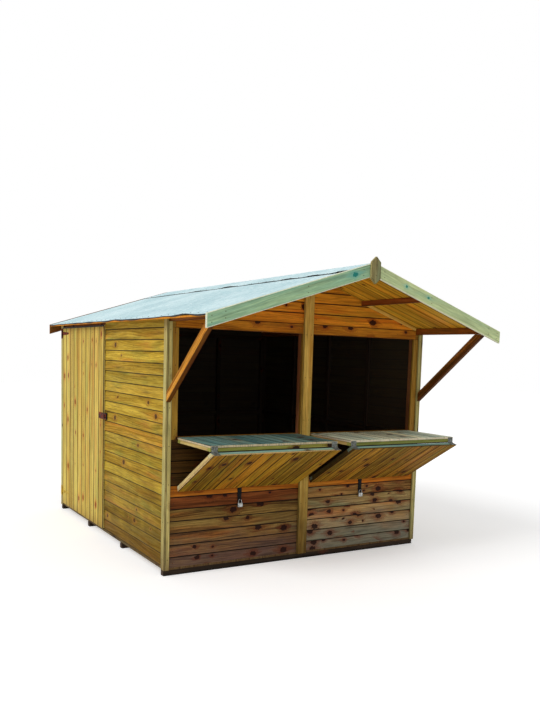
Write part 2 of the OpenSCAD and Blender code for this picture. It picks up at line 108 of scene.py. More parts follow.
def speckle(tree, place, detail, scale=1.0, roughness=0.5):
    """Noise in the piece's own coordinates, from 0 to 1."""
    amounts = {"Scale": scale, "Detail": detail, "Roughness": roughness}
    return wire(tree, "ShaderNodeTexNoise", place, by_name=amounts)


def drawn(tree, place, along, across, detail, roughness=0.5):
    """Noise with so many waves to the metre along a board and across it."""
    return speckle(tree, vectors(tree, "MULTIPLY", place, (along, across, 1.0)), detail, roughness=roughness)


def sockets(tree, side, **kinds):
    """Named inputs or outputs of a node group."""
    for name, kind in kinds.items():
        tree.interface.new_socket(name=name.replace("_", " "), in_out=side, socket_type="NodeSocket" + kind)


def timber_effect():
    """Sawn softwood: growth bands and fibres along the board, knots that bend them, and a darker colour from
    below, damp on some timbers and painted shade on others.
    """
    tree = bpy.data.node_groups.new("timber", "ShaderNodeTree")
    sockets(tree, "INPUT", Place="Vector", Rim="Float", End="Float", Edge="Float", Back="Float",
            Pale="Color", Late="Color", Heart="Color", Sap="Color", Damp="Color", Cut="Color", Knot="Color",
            Flush="Color", Knots="Float", Contrast="Float", Spread="Float", Damp_top="Float",
            Groove="Float", Edges="Float", Inside="Float", Knot_size="Float")
    sockets(tree, "OUTPUT", Color="Color", Roughness="Float", Height="Float")
    given = tree.nodes.new("NodeGroupInput").outputs
    place = given["Place"]
    split = wire(tree, "ShaderNodeSeparateXYZ", place).node.outputs
    along, across, board = split[0], split[1], split[2]

    # One chance of a knot in each cell of about 22 by 9 cm
    cells_along, cells_across = 4.5, 11.0
    cells = vectors(tree, "MULTIPLY", place, (cells_along, cells_across, 1.0))
    cell = wire(tree, "ShaderNodeTexVoronoi", cells, by_name={"Scale": 1.0}).node.outputs
    chance = wire(tree, "ShaderNodeSeparateColor", cell["Color"]).node.outputs
    off = vectors(tree, "SUBTRACT", cells, cell["Position"])
    off = vectors(tree, "MULTIPLY", off, (1 / cells_along, 1 / cells_across, 0.0))
    reach = vectors(tree, "LENGTH", vectors(tree, "MULTIPLY", off, (0.7, 1.0, 0.0)), give="Value")
    ragged = ramp(tree, drawn(tree, place, 90.0, 90.0, 1.0), 0.2, 0.8, 0.8, 1.25)
    least_knot, largest_knot = 0.006, 0.019
    radius = times(tree, ramp(tree, chance[0], 0.0, 1.0, least_knot, largest_knot), ragged)
    radius = times(tree, radius, given["Knot size"])
    reach = maths(tree, "DIVIDE", reach, radius)
    tail = vectors(tree, "LENGTH", vectors(tree, "MULTIPLY", off, (0.2, 1.5, 0.0)), give="Value")
    tail = maths(tree, "DIVIDE", tail, radius)
    kept = maths(tree, "LESS_THAN", chance[1], given["Knots"])
    core = times(tree, ramp(tree, reach, 0.85, 1.05, 1.0, 0.0), kept)
    halo = times(tree, ramp(tree, reach, 0.9, 3.0, 1.0, 0.0), kept)
    tail = times(tree, ramp(tree, tail, 0.3, 1.5, 1.0, 0.0), kept)
    push = times(tree, wire(tree, "ShaderNodeSeparateXYZ", off, give="Y"), halo)
    bent = minus(tree, across, times(tree, push, 0.75))

    # Growth bands, narrow streaks and fibres, each drawn out along the board
    drift = drawn(tree, place, 0.9, 5.0, 2.0)
    bands = plus(tree, times(tree, bent, 17.0), times(tree, drift, 3.2))
    bands = wire(tree, "ShaderNodeCombineXYZ", times(tree, along, 0.6), bands, board)
    bands = ramp(tree, speckle(tree, bands, 2.0), 0.4, 0.6)
    streaks = plus(tree, times(tree, bent, 115.0), times(tree, drift, 12.0))
    streaks = wire(tree, "ShaderNodeCombineXYZ", times(tree, along, 2.2), streaks, board)
    streaks = ramp(tree, speckle(tree, streaks, 3.0, roughness=0.6), 0.42, 0.6)
    fibres = drawn(tree, place, 11.0, 420.0, 1.0)
    grain = plus(tree, times(tree, bands, 0.5), times(tree, streaks, 0.5))

    # Each board has its own shade. Heartwood and green sapwood show in long patches, with darker stains
    shade = wire(tree, "ShaderNodeTexWhiteNoise", give="Color", noise_dimensions="1D", by_name={"W": board})
    shade = wire(tree, "ShaderNodeSeparateColor", shade).node.outputs
    red = ramp(tree, drawn(tree, place, 1.3, 14.0, 3.0), 0.5, 0.72, 0.0, 0.75)
    red = plus(tree, red, times(tree, maths(tree, "POWER", shade[0], 2.0), given["Spread"]))
    shifted = vectors(tree, "ADD", place, (3.7, 1.9, 40.0))
    green = ramp(tree, drawn(tree, shifted, 1.8, 11.0, 3.0), 0.5, 0.75, 0.0, 0.7)
    green = plus(tree, green, times(tree, maths(tree, "POWER", shade[2], 2.0), given["Spread"]))
    stain = ramp(tree, drawn(tree, shifted, 2.4, 46.0, 4.0, 0.6), 0.54, 0.68)
    stain = times(tree, stain, given["Contrast"])
    colour = mix(tree, maths(tree, "MINIMUM", red, 1.0), given["Pale"], given["Heart"])
    colour = mix(tree, maths(tree, "MINIMUM", green, 0.9), colour, given["Sap"])
    colour = mix(tree, times(tree, grain, given["Contrast"]), colour, given["Late"])
    light = times(tree, minus(tree, shade[1], 0.5), given["Spread"])
    light = plus(tree, times(tree, light, 0.7), ramp(tree, fibres, 0.2, 0.8, 0.88, 1.1))
    light = minus(tree, light, times(tree, stain, 0.4))
    figure = ramp(tree, drawn(tree, shifted, 7.0, 70.0, 5.0, 0.72), 0.32, 0.68, -0.22, 0.22)
    figure = times(tree, figure, given["Contrast"])
    light = maths(tree, "MAXIMUM", plus(tree, light, figure), 0.2)
    colour = wire(tree, "ShaderNodeHueSaturation", by_name={"Color": colour, "Value": light})

    # Darker colour from the foot up, damp on the low timbers and painted shade where it reaches up the walls
    # and the post, and the knots, which stay dark in it
    spot = wire(tree, "ShaderNodeTexCoord", give="Object")
    rise = wire(tree, "ShaderNodeSeparateXYZ", spot, give="Z")
    damp_and_shade_level = maths(tree, "DIVIDE", rise, given["Damp top"])
    damp_and_shade_level = plus(tree, damp_and_shade_level, times(tree, speckle(tree, spot, 3.0, scale=5.0), 0.7))
    damp_and_shade = wire(tree, "ShaderNodeHueSaturation", by_name={"Color": given["Damp"], "Value": light})
    colour = mix(tree, ramp(tree, damp_and_shade_level, 0.35, 1.35, 0.8, 0.0), colour, damp_and_shade)
    flush = times(tree, maths(tree, "MAXIMUM", halo, tail), 0.6)
    colour = mix(tree, flush, colour, given["Flush"])
    colour = mix(tree, times(tree, core, 0.94), colour, given["Knot"])

    # Dirt and painted shade in the grooves and on the arrises, end grain, and painted shade on the unlit inner
    # face.
    # The cut colour also goes on the narrow sides of some finishes: painted shade on the braces and the right
    # prop, a painted highlight on the barge boards.
    groove_dirt_and_shade, painted_inner_shade = linear("170c05"), linear("38322d")
    groove_dirt_and_shade_mask = ramp(tree, given["Rim"], 0.85, 0.94)
    colour = mix(tree, times(tree, groove_dirt_and_shade_mask, given["Groove"]), colour, groove_dirt_and_shade)
    rings = ramp(tree, drawn(tree, place, 160.0, 160.0, 1.0), 0.35, 0.65, 0.0, 0.45)
    end_and_side_colour = mix(tree, rings, given["Cut"], given["Late"])
    end_and_side_mask = maths(tree, "MAXIMUM", given["End"], times(tree, given["Edge"], given["Edges"]))
    colour = mix(tree, times(tree, end_and_side_mask, 0.85), colour, end_and_side_colour)
    colour = mix(tree, times(tree, given["Back"], given["Inside"]), colour, painted_inner_shade)

    rough = ramp(tree, grain, 0.0, 1.0, 0.55, 0.78)
    height = plus(tree, times(tree, grain, -0.6), times(tree, fibres, 0.35))
    height = plus(tree, height, times(tree, core, 0.5))
    wire(tree, "NodeGroupOutput", colour, rough, height)
    return tree


timber_tree = timber_effect()
grain_relief, grain_depth = 0.4, 0.002


def timber(name, pale, late, heart, sap, damp_and_shade="4a3a2c", cut=None, knot="200a05", flush="5e260c", knots=0.3,
           contrast=0.7, spread=0.5, damp_top=0.1, groove=0.7, edges=0.0, inside=0.0, knot_size=1.0):
    """Finish of one kind of board, from the timber effect with its own colours."""
    material = bpy.data.materials.new(name)
    material.use_nodes = True
    tree = material.node_tree
    shader = tree.nodes["Principled BSDF"]
    effect = tree.nodes.new("ShaderNodeGroup")
    effect.node_tree = timber_tree
    reads = (("Place", "grain", "Vector"), ("Rim", "rim", "Fac"), ("End", "end", "Fac"),
             ("Edge", "edge", "Fac"), ("Back", "back", "Fac"))
    for socket, attribute, give in reads:
        read = wire(tree, "ShaderNodeAttribute", give=give, attribute_name=attribute)
        tree.links.new(read, effect.inputs[socket])
    colours = (("Pale", pale), ("Late", late), ("Heart", heart), ("Sap", sap), ("Damp", damp_and_shade),
               ("Cut", cut or pale), ("Knot", knot), ("Flush", flush))
    for socket, code in colours:
        effect.inputs[socket].default_value = linear(code)
    amounts = (("Knots", knots), ("Contrast", contrast), ("Spread", spread), ("Damp top", damp_top),
               ("Groove", groove), ("Edges", edges), ("Inside", inside), ("Knot size", knot_size))
    for socket, amount in amounts:
        effect.inputs[socket].default_value = amount
    tree.links.new(effect.outputs["Color"], shader.inputs["Base Color"])
    tree.links.new(effect.outputs["Roughness"], shader.inputs["Roughness"])
    bumps = {"Strength": grain_relief, "Distance": grain_depth, "Height": effect.outputs["Height"]}
    tree.links.new(wire(tree, "ShaderNodeBump", by_name=bumps), shader.inputs["Normal"])
    shader.inputs["Specular IOR Level"].default_value = 0.1
    return material


def body_of(node):
    return next(body for body, nodes in frame["record"]["behaviour"]["bodies"].items() if node in nodes)


def slot_of(node):
    return next(row["material_slot"] for row in frame["record"]["subparts"] if row["node"] == node)


def stand_for(piece, *nodes):
    """Let a finished piece ride with the body of the CAD nodes that it stands for, and hide those."""
    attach(piece, body_of(nodes[0]))
    slot_of(nodes[0])
    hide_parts(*nodes)
    return piece


def islands(mesh):
    """Groups of joined faces, in the order of their first faces."""
    seen = set()
    for first in mesh.faces:
        if first.index in seen:
            continue
        seen.add(first.index)
        group = [first]
        for face in group:
            for edge in face.edges:
                for other in edge.link_faces:
                    if other.index not in seen:
                        seen.add(other.index)
                        group.append(other)
        yield group


def placed(name, data):
    """New object at the origin for a mesh, a lamp or a camera."""
    made = bpy.data.objects.new(name, data)
    bpy.context.scene.collection.objects.link(made)
    return made


def merged(node):
    """Copy of a CAD node's mesh, with its loose triangles joined to flat faces."""
    solid = bmesh.new()
    solid.from_mesh(frame["nodes"][node].data)
    bmesh.ops.remove_doubles(solid, verts=solid.verts, dist=1e-5)
    bmesh.ops.dissolve_limit(solid, angle_limit=0.01, verts=solid.verts, edges=solid.edges)
    return solid


board_draws = random.Random(11)
# Arrises get this rim value, so they take the grooves' dirt and painted shade
arris_dirt_and_shade_rim, side_shift = 0.94, 0.4


def sawn(name, solid, finishes, round_off, choose=None, bright=False):
    """Timbers from plain solids, with eased edges, each with grain along its longest edge.

    Where there are several finishes, choose takes a timber's direction and middle and gives the number
    of its finish. With bright set, the arrises are marked like narrow sides and take the finish's cut colour,
    a painted highlight.
    """
    solid.faces.index_update()
    solid.verts.index_update()
    solid.edges.index_update()
    points, faces, grains, numbers = [], [], [], []
    marks = {"rim": [], "end": [], "edge": []}
    for group in islands(solid):
        edges = sorted({edge.index: edge for face in group for edge in face.edges}.items())
        longest = max((edge for _, edge in edges), key=lambda edge: round(edge.calc_length(), 5))
        run = (longest.verts[1].co - longest.verts[0].co).normalized()
        broad = max((face for face in group if abs(face.normal.dot(run)) < 0.5),
                    key=lambda face: round(face.calc_area(), 6))
        thick = broad.normal.copy()
        wide = run.cross(thick)
        board = board_draws.uniform(0, 100)
        spots = [v.co for face in group for v in face.verts]
        number = choose(run, sum(spots, Vector()) / len(spots)) if choose else 0
        one = bmesh.new()
        corners = {v.index: one.verts.new(v.co) for face in group for v in face.verts}
        for face in group:
            one.faces.new([corners[v.index] for v in face.verts])
        one.verts.index_update()
        arrises = set(bmesh.ops.bevel(one, geom=one.edges[:], offset=round_off, segments=2, profile=0.5,
                                      affect="EDGES", clamp_overlap=True)["faces"])
        one.normal_update()
        start = len(points)
        one.verts.index_update()
        points += [v.co.copy() for v in one.verts]
        for face in one.faces:
            faces.append([start + v.index for v in face.verts])
            end = abs(face.normal.dot(run)) > 0.7
            side = abs(face.normal.dot(thick)) < 0.5
            for v in face.verts:
                if end:
                    grains += (v.co.dot(wide), v.co.dot(thick), board)
                elif side:
                    grains += (v.co.dot(run), v.co.dot(thick) + side_shift, board)
                else:
                    grains += (v.co.dot(run), v.co.dot(wide), board)
            marks["rim"].append(arris_dirt_and_shade_rim if face in arrises else 0.0)
            marks["end"].append(1.0 if end else 0.0)
            marks["edge"].append(1.0 if (side or bright and face in arrises) and not end else 0.0)
            numbers.append(number)
        one.free()
    solid.free()
    mesh = bpy.data.meshes.new(name)
    mesh.from_pydata(points, [], faces)
    mesh.attributes.new("grain", "FLOAT_VECTOR", "CORNER").data.foreach_set("vector", grains)
    for mark, values in marks.items():
        mesh.attributes.new(mark, "FLOAT", "FACE").data.foreach_set("value", values)
    for finish in finishes if choose else (finishes,):
        mesh.materials.append(finish)
    mesh.polygons.foreach_set("material_index", numbers)
    return placed(name, mesh)


def timbers(node, finishes, round_off=0.002, choose=None, bright=False):
    """Sawn timbers in place of a CAD node."""
    return stand_for(sawn(node + "_timbers", merged(node), finishes, round_off, choose, bright), node)


bearer_finish = timber("damp_bearers", "4a382a", "1e1712", "3a281c", "2c2a20", damp_and_shade="0c0a09", knots=0.1,
                       damp_top=0.034)
timbers("bearers", bearer_finish, round_off=0.003)


# Floor
# Tongued boards that run from front to back across the bearers, nailed down.
# Only their edge shows from outside, as a pale strip between two dark lines.
def marked(tree, geometry, name, value, kind="FLOAT", domain="FACE"):
    """Geometry with a value kept on it under a name, for materials to read."""
    return wire(tree, "GeometryNodeStoreNamedAttribute", geometry, None, name, value, data_type=kind,
                domain=domain)


def board_tree():
    """Row of boards: X along a board, Y from board to board, Z out of the row's face."""
    tree = bpy.data.node_groups.new("board row", "GeometryNodeTree")
    sockets(tree, "INPUT", Count="Int", Cover="Float", Length="Float", Thickness="Float", Easing="Float",
            Lap="Float", Wander="Float", Seed="Int", Finish="Material")
    sockets(tree, "OUTPUT", Geometry="Geometry")
    given = tree.nodes.new("NodeGroupInput").outputs
    cover, thickness = given["Cover"], given["Thickness"]
    size = wire(tree, "ShaderNodeCombineXYZ", given["Length"], cover, thickness)
    points_along, points_across, points_deep = 14, 12, 2
    board = wire(tree, "GeometryNodeMeshCube", size, points_along, points_across, points_deep)

    # Draw the rows of points towards the board's edges, then ease and lap its face
    draw_out, ease_curve, square_on = 2.2, 2.0, 0.7
    spot = wire(tree, "GeometryNodeInputPosition")
    split = wire(tree, "ShaderNodeSeparateXYZ", spot).node.outputs
    half = times(tree, cover, 0.5)
    share = maths(tree, "DIVIDE", split[1], half)
    inner = maths(tree, "POWER", minus(tree, 1.0, maths(tree, "ABSOLUTE", share)), draw_out)
    share = times(tree, maths(tree, "SIGN", share), minus(tree, 1.0, inner))
    depth = minus(tree, 1.0, maths(tree, "DIVIDE", times(tree, inner, half), given["Easing"]))
    depth = maths(tree, "POWER", maths(tree, "MAXIMUM", depth, 0.0), ease_curve)
    drop = times(tree, depth, given["Easing"])
    lapped = times(tree, plus(tree, share, 1.0), times(tree, given["Lap"], 0.5))
    drop = plus(tree, drop, lapped)
    front = maths(tree, "GREATER_THAN", split[2], 0.0)
    height = minus(tree, split[2], times(tree, drop, front))
    width = times(tree, share, half)
    eased = wire(tree, "ShaderNodeCombineXYZ", split[0], width, height)
    facing = wire(tree, "ShaderNodeSeparateXYZ", wire(tree, "GeometryNodeInputNormal")).node.outputs
    ending = maths(tree, "GREATER_THAN", maths(tree, "ABSOLUTE", facing[0]), square_on)
    board = marked(tree, board, "end", ending)
    narrow = maths(tree, "GREATER_THAN", maths(tree, "ABSOLUTE", facing[1]), square_on)
    board = marked(tree, board, "edge", narrow)
    board = marked(tree, board, "back", maths(tree, "LESS_THAN", facing[2], -square_on))
    board = marked(tree, board, "rim", maths(tree, "ABSOLUTE", share), domain="POINT")
    board = wire(tree, "GeometryNodeSetPosition", board, None, eased)
    board = marked(tree, board, "grain", wire(tree, "GeometryNodeInputPosition"), "FLOAT_VECTOR", "POINT")

    # Set the boards side by side, each a little proud or back of the next
    first = wire(tree, "ShaderNodeCombineXYZ", 0.0, half, 0.0)
    pace = wire(tree, "ShaderNodeCombineXYZ", 0.0, cover, 0.0)
    line = wire(tree, "GeometryNodeMeshLine", given["Count"], first, pace)
    order = wire(tree, "GeometryNodeInputIndex")
    proud = wire(tree, "FunctionNodeRandomValue", -1.0, 1.0, order, given["Seed"])
    proud = times(tree, proud, given["Wander"])
    offset = wire(tree, "ShaderNodeCombineXYZ", 0.0, 0.0, proud)
    line = wire(tree, "GeometryNodeSetPosition", line, None, None, offset)
    row = wire(tree, "GeometryNodeInstanceOnPoints", line, by_name={"Instance": board})
    shade_seed = plus(tree, given["Seed"], 100.0)
    shade = wire(tree, "FunctionNodeRandomValue", 0.0, 100.0, order, shade_seed)
    row = marked(tree, row, "board", shade, domain="INSTANCE")
    row = wire(tree, "GeometryNodeRealizeInstances", row)
    local = wire(tree, "GeometryNodeInputNamedAttribute", "grain", data_type="FLOAT_VECTOR")
    local = wire(tree, "ShaderNodeSeparateXYZ", local).node.outputs
    shade = wire(tree, "GeometryNodeInputNamedAttribute", "board", data_type="FLOAT")
    grain = wire(tree, "ShaderNodeCombineXYZ", local[0], local[1], shade)
    row = marked(tree, row, "grain", grain, "FLOAT_VECTOR", "POINT")
    row = wire(tree, "GeometryNodeSetMaterial", row, None, given["Finish"])
    wire(tree, "NodeGroupOutput", row)
    return tree


def grown(name, tree, place, points=(), **inputs):
    """Mesh object from a geometry tree with the given inputs, moved to its place.

    Points are pairs of a place and a direction, for a tree that sets something on each of them.
    """
    start = bpy.data.meshes.new(name)
    start.from_pydata([spot for spot, _ in points], [], [])
    directions = [x for _, out in points for x in out]
    start.attributes.new("out", "FLOAT_VECTOR", "POINT").data.foreach_set("vector", directions)
    piece = placed(name, start)
    maker = piece.modifiers.new("maker", "NODES")
    maker.node_group = tree
    for item in tree.interface.items_tree:
        key = item.name.replace(" ", "_")
        if item.in_out == "INPUT" and key in inputs:
            maker[item.identifier] = inputs[key]
    ready = piece.evaluated_get(bpy.context.evaluated_depsgraph_get())
    mesh = bpy.data.meshes.new_from_object(ready)
    piece.modifiers.remove(maker)
    mesh.name = name
    mesh.transform(place)
    if place.determinant() < 0:
        mesh.flip_normals()
    piece.data = mesh
    return piece


def laid(corner, along, across, out):
    """Place of a row: its corner, and the directions of its X, Y and Z."""
    place = Matrix((along, across, out)).transposed().to_4x4()
    place.translation = corner
    return place


def cut(piece, point, normal):
    """Saw off what lies beyond a plane, and close the sawn ends."""
    mesh = bmesh.new()
    mesh.from_mesh(piece.data)
    everything = mesh.verts[:] + mesh.edges[:] + mesh.faces[:]
    bmesh.ops.bisect_plane(mesh, geom=everything, dist=1e-6, plane_co=point, plane_no=normal,
                           clear_outer=True)
    open_edges = [edge for edge in mesh.edges if edge.is_boundary]
    end = mesh.faces.layers.float["end"]
    for face in bmesh.ops.holes_fill(mesh, edges=open_edges, sides=0)["faces"]:
        face[end] = 1.0
    bmesh.ops.recalc_face_normals(mesh, faces=mesh.faces[:])
    mesh.to_mesh(piece.data)
    mesh.free()
    return piece


board_row = board_tree()
RIGHT, BACK, UP = Vector((1, 0, 0)), Vector((0, 1, 0)), Vector((0, 0, 1))

floor_finish = timber("floor_boards", "b09a64", "6c5230", "94703c", "948c58", damp_and_shade="4c3c28", cut="4a3220",
                      damp_top=0.02)
floor_count = 20
low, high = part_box("floor")
floor_row = laid((low.x, (low.y + high.y) / 2, (low.z + high.z) / 2), BACK, RIGHT, UP)
floor = grown("floor_boards", board_row, floor_row, Count=floor_count, Cover=(high.x - low.x) / floor_count,
              Length=high.y - low.y, Thickness=high.z - low.z, Easing=0.002, Lap=0.0, Wander=0.0, Seed=3,
              Finish=floor_finish)
stand_for(floor, "floor")


# Wall frames
# Sawn studs and rails inside the boards, seen through the serving openings.
# They are square edged and nailed together.
# The side and rear frames are near black: painted shade for the unlit inside of the hut.
frame_shade_finish = timber("frame_timber", "463830", "2a2018", "40281a", "36321f", knots=0.2)
for node in ("left_frame", "right_frame", "rear_frame"):
    timbers(node, frame_shade_finish)
reveal_finish = timber("front_frame_timber", "a86a44", "6c3a20", "94502c", "8c6a40", knots=0.2)
timbers("front_frame", reveal_finish)


# Side and rear wall boards
# Planed shiplap boards laid level, each with its lower edge proud of the board below.
# The left wall stops at the doorway, and the rear wall runs up under the roof as a gable.
# The wall boards darken towards the foot up to about a metre: painted shade.
wall_finish = timber("wall_boards", "cbaa30", "7c5a10", "d28a26", "969230", damp_and_shade="4e3606", knot="4a2e12",
                     flush="9c6a22", knots=0.07, contrast=0.75, spread=0.5, damp_top=1.0, groove=0.8,
                     inside=0.95)
wall_cover = 0.0855
wall_lap = 0.0045
wall_foot = 0.0655 - wall_cover
wall_rows = 22


def level_boards(name, node, out, finish, seed, foot=wall_foot, cover=wall_cover, count=wall_rows,
                 span=None):
    """Level boards over the box of a wall node, with their faces turned to out, cut to its foot and top."""
    low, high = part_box(node)
    if span:
        low.x, high.x = span
    middle = (low + high) / 2
    along = BACK if abs(out.x) > 0.5 else RIGHT
    length = (high - low).dot(along)
    corner = Vector((middle.x, middle.y, foot))
    thickness = (high - low).dot(Vector(abs(part) for part in out))
    row = grown(name, board_row, laid(corner, along, UP, out), Count=count, Cover=cover, Length=length,
                Thickness=thickness, Easing=0.0035, Lap=wall_lap, Wander=0.0006, Seed=seed, Finish=finish)
    cut(row, Vector((0, 0, low.z)), -UP)
    cut(row, Vector((0, 0, high.z)), UP)
    return row


def joined(name, pieces):
    """One mesh object from several, in the order given."""
    with bpy.context.temp_override(active_object=pieces[0], selected_editable_objects=pieces):
        bpy.ops.object.join()
    pieces[0].name = name
    pieces[0].data.name = name
    return pieces[0]


stand_for(level_boards("left_wall_boards", "left_cladding", -RIGHT, wall_finish, 21), "left_cladding")
stand_for(level_boards("right_wall_boards", "right_cladding", RIGHT, wall_finish, 22), "right_cladding")

ridge_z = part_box("rear_cladding")[1].z
felt_thick = 0.0032
felt_low, felt_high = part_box("felt_right")
roof_slope = (felt_high.z - felt_low.z - felt_thick) / felt_high.x
pitch = math.atan(roof_slope)


def under_roof(piece):
    """Cut a gable's boards to both slopes of the roof."""
    for side in (-1, 1):
        slope = Vector((side * math.sin(pitch), 0, math.cos(pitch)))
        cut(piece, Vector((0, 0, ridge_z)), slope)
    return piece


rear_rows = 27
rear = level_boards("rear_wall_boards", "rear_cladding", BACK, wall_finish, 23, count=rear_rows)
stand_for(under_roof(rear), "rear_cladding")


# Front wall
# The same boards under the counters, stained darker, with the framing's cover boards round the openings; the
# boards just under the counters carry the counters' painted shadow.
# A planed post covers the middle of the front from the ground to the ridge.
front_left_finish = timber("front_boards_left", "9a7c3e", "4e3214", "a06022", "86824a", damp_and_shade="5c4844",
                           knots=0.45, knot_size=1.2, contrast=1.0, spread=0.6, damp_top=0.42, groove=1.0,
                           inside=0.95)
front_right_finish = timber("front_boards_right", "c29854", "5c3a18", "bc6e2c", "9c9a6c", damp_and_shade="828878",
                            knots=0.9, flush="6e240c", knot_size=1.15, contrast=1.0, spread=0.5,
                            damp_top=0.52, groove=1.0, inside=0.95)
orange_finish = timber("front_boards_orange", "d87a1c", "743608", "dc781a", "b47c28", knots=0.4,
                       contrast=0.8, groove=1.0, inside=0.95)
red_finish = timber("front_boards_red", "8a4a1c", "40200c", "96421a", "74562c", knots=0.45, contrast=0.8,
                    groove=1.0, inside=0.95)
# Near black boards just under the counters: the counters' painted shadow.
counter_shadow_finish = timber("front_boards_sheltered", "583c18", "2c1c0a", "5c340e", "483c1c", knots=0.4,
                          contrast=0.8, groove=1.0, inside=0.95)


def repaint(row, finish, low, high):
    """Give the boards of a level row whose middles lie between two heights another finish."""
    row.data.materials.append(finish)
    for face in row.data.polygons:
        if low < face.center.z < high:
            face.material_index = len(row.data.materials) - 1


front_cover = 0.0875
front_foot = 0.0445 - front_cover
front_rows, orange_row = 13, 7
low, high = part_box("front_cladding")
front_halves = []
for finish, x0, x1, seed in ((front_left_finish, low.x, 0, 24), (front_right_finish, 0, high.x, 29)):
    half = level_boards(f"front_boards_{seed}", "front_cladding", -BACK, finish, seed, foot=front_foot,
                        cover=front_cover, count=front_rows, span=(x0, x1))
    top_board = front_foot + orange_row * front_cover
    repaint(half, orange_finish, top_board, top_board + front_cover)
    repaint(half, counter_shadow_finish, top_board + front_cover, high.z)
    if x1 == 0:
        repaint(half, red_finish, top_board - front_cover, top_board)
    front_halves.append(half)
stand_for(joined("front_boards", front_halves), "front_cladding")

gable_finish = timber("gable_boards", "fcac2e", "985010", "f07a1a", "d09828", knot="2a0e06",
                      flush="8c3c10", knots=0.35, knot_size=1.3, contrast=0.7, groove=0.9, inside=0.95)
gable_cover = 0.0835
gable_rows = 5
gable = level_boards("gable_boards", "front_gable", -BACK, gable_finish, 25, foot=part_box("front_gable")[0].z,
                     cover=gable_cover, count=gable_rows)
stand_for(under_roof(gable), "front_gable")

head_finish = timber("head_timber", "ec9a28", "8c4e10", "d87218", "ba8a22", knot="2a0e06", flush="8c3c10",
                     knots=0.4, contrast=0.75)
timbers("head_board", head_finish)
# The post darkens towards its foot below about a metre: painted shade under the counters.
post_finish = timber("post_timber", "e4c868", "a87c2e", "d0923c", "c6bc6c", damp_and_shade="341c06", knots=0.12,
                     damp_top=0.95)
jamb_finish = timber("jamb_timber", "b48832", "6e4a16", "9c5e20", "8c782e", knots=0.2)
timbers("jamb_boards", jamb_finish)
timbers("sills", jamb_finish)
timbers("centre_post", post_finish, round_off=0.003)


# Corner boards
# Planed strips nailed over the ends of the wall boards on all four corners.
# The treatment shows pale green in them.
trim_finish = timber("trim_timber", "d2c67e", "98864a", "bc9c58", "b0c08a", damp_and_shade="806a44", knots=0.2,
                     damp_top=0.3)
for node in ("front_corner_boards", "side_corner_boards", "rear_corner_boards"):
    timbers(node, trim_finish, round_off=0.0025)


# Roof timbers
# Eave beams and purlins that run from the back wall out to the front barge boards.
# They carry the roof boards and are the darkest timbers under the canopy.
beam_finish = timber("roof_beams", "b86a26", "6e3810", "984a16", "845e24", knots=0.3)
timbers("eave_beams", beam_finish, round_off=0.003)
purlin_finish = timber("purlins", "b0602a", "5c2a0e", "943e16", "7a5424", knots=0.2)
timbers("purlins", purlin_finish, round_off=0.003)


# Roof boards
# Sawn boards nailed down the slope, from the ridge to the eaves. Their undersides
# are the canopy's soffit, warm brown where the weather doesn't reach.
soffit_finish = timber("roof_boards", "fcbe34", "ac680e", "ec8c1c", "dab034", cut="e08818", knots=0.25,
                       contrast=0.7, spread=0.8, groove=0.75)
roof_cover, roof_count = 0.0942, 38
roof_thick, roof_end_play = 0.012, 0.004
for side, node, seed in ((1, "roof_boards_right", 31), (-1, "roof_boards_left", 32)):
    low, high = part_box(node)
    down = Vector((side * math.cos(pitch), 0, -math.sin(pitch)))
    inward = Vector((-side * math.sin(pitch), 0, -math.cos(pitch)))
    length = (high.x - low.x) / math.cos(pitch) - roof_end_play
    middle = Vector(((low.x + high.x) / 2, low.y, (low.z + high.z) / 2))
    row = grown(node + "_row", board_row, laid(middle, down, BACK, inward), Count=roof_count,
                Cover=roof_cover, Length=length, Thickness=roof_thick, Easing=0.003, Lap=0.0, Wander=0.0,
                Seed=seed, Finish=soffit_finish)
    stand_for(row, node)


# Roofing felt
# Mineral felt in pale blue green, one stiff sheet nailed down each slope and a strip lapped over the ridge.
# It lies in shallow waves, its edges lift and wander, and black bitumen shows where it is cut.
def plain_finish(name, roughness):
    """New material with its node tree, its shader and the piece's own coordinates."""
    material = bpy.data.materials.new(name)
    material.use_nodes = True
    tree = material.node_tree
    shader = tree.nodes["Principled BSDF"]
    shader.inputs["Roughness"].default_value = roughness
    return material, tree, shader, wire(tree, "ShaderNodeTexCoord", give="Object")


felt_finish, tree, shader, spot = plain_finish("mineral_felt", 0.9)
grit = speckle(tree, spot, 2.0, scale=420.0)
cloud = speckle(tree, spot, 4.0, scale=2.2)
worn_off = speckle(tree, vectors(tree, "MULTIPLY", spot, (26.0, 60.0, 26.0)), 3.0, roughness=0.6)
washed = speckle(tree, vectors(tree, "MULTIPLY", spot, (1.2, 14.0, 1.2)), 3.0)
colour = mix(tree, ramp(tree, cloud, 0.3, 0.7), linear("b4d6dc"), linear("d2ecf0"))
colour = mix(tree, ramp(tree, washed, 0.5, 0.8, 0.0, 0.4), colour, linear("9cbcc6"))
colour = mix(tree, ramp(tree, worn_off, 0.5, 0.66, 0.0, 0.7), colour, linear("effafb"))
colour = mix(tree, ramp(tree, worn_off, 0.46, 0.34, 0.0, 0.45), colour, linear("8fb2bc"))
colour = mix(tree, ramp(tree, grit, 0.55, 0.75, 0.0, 0.45), colour, linear("86a4ac"))
tree.links.new(colour, shader.inputs["Base Color"])
grit_bumps = {"Strength": 0.5, "Distance": 0.002, "Height": grit}
tree.links.new(wire(tree, "ShaderNodeBump", by_name=grit_bumps), shader.inputs["Normal"])

bitumen_finish, tree, shader, spot = plain_finish("bitumen", 0.85)
colour = mix(tree, speckle(tree, spot, 3.0, scale=90.0), linear("100f0f"), linear("2a2522"))
tree.links.new(colour, shader.inputs["Base Color"])


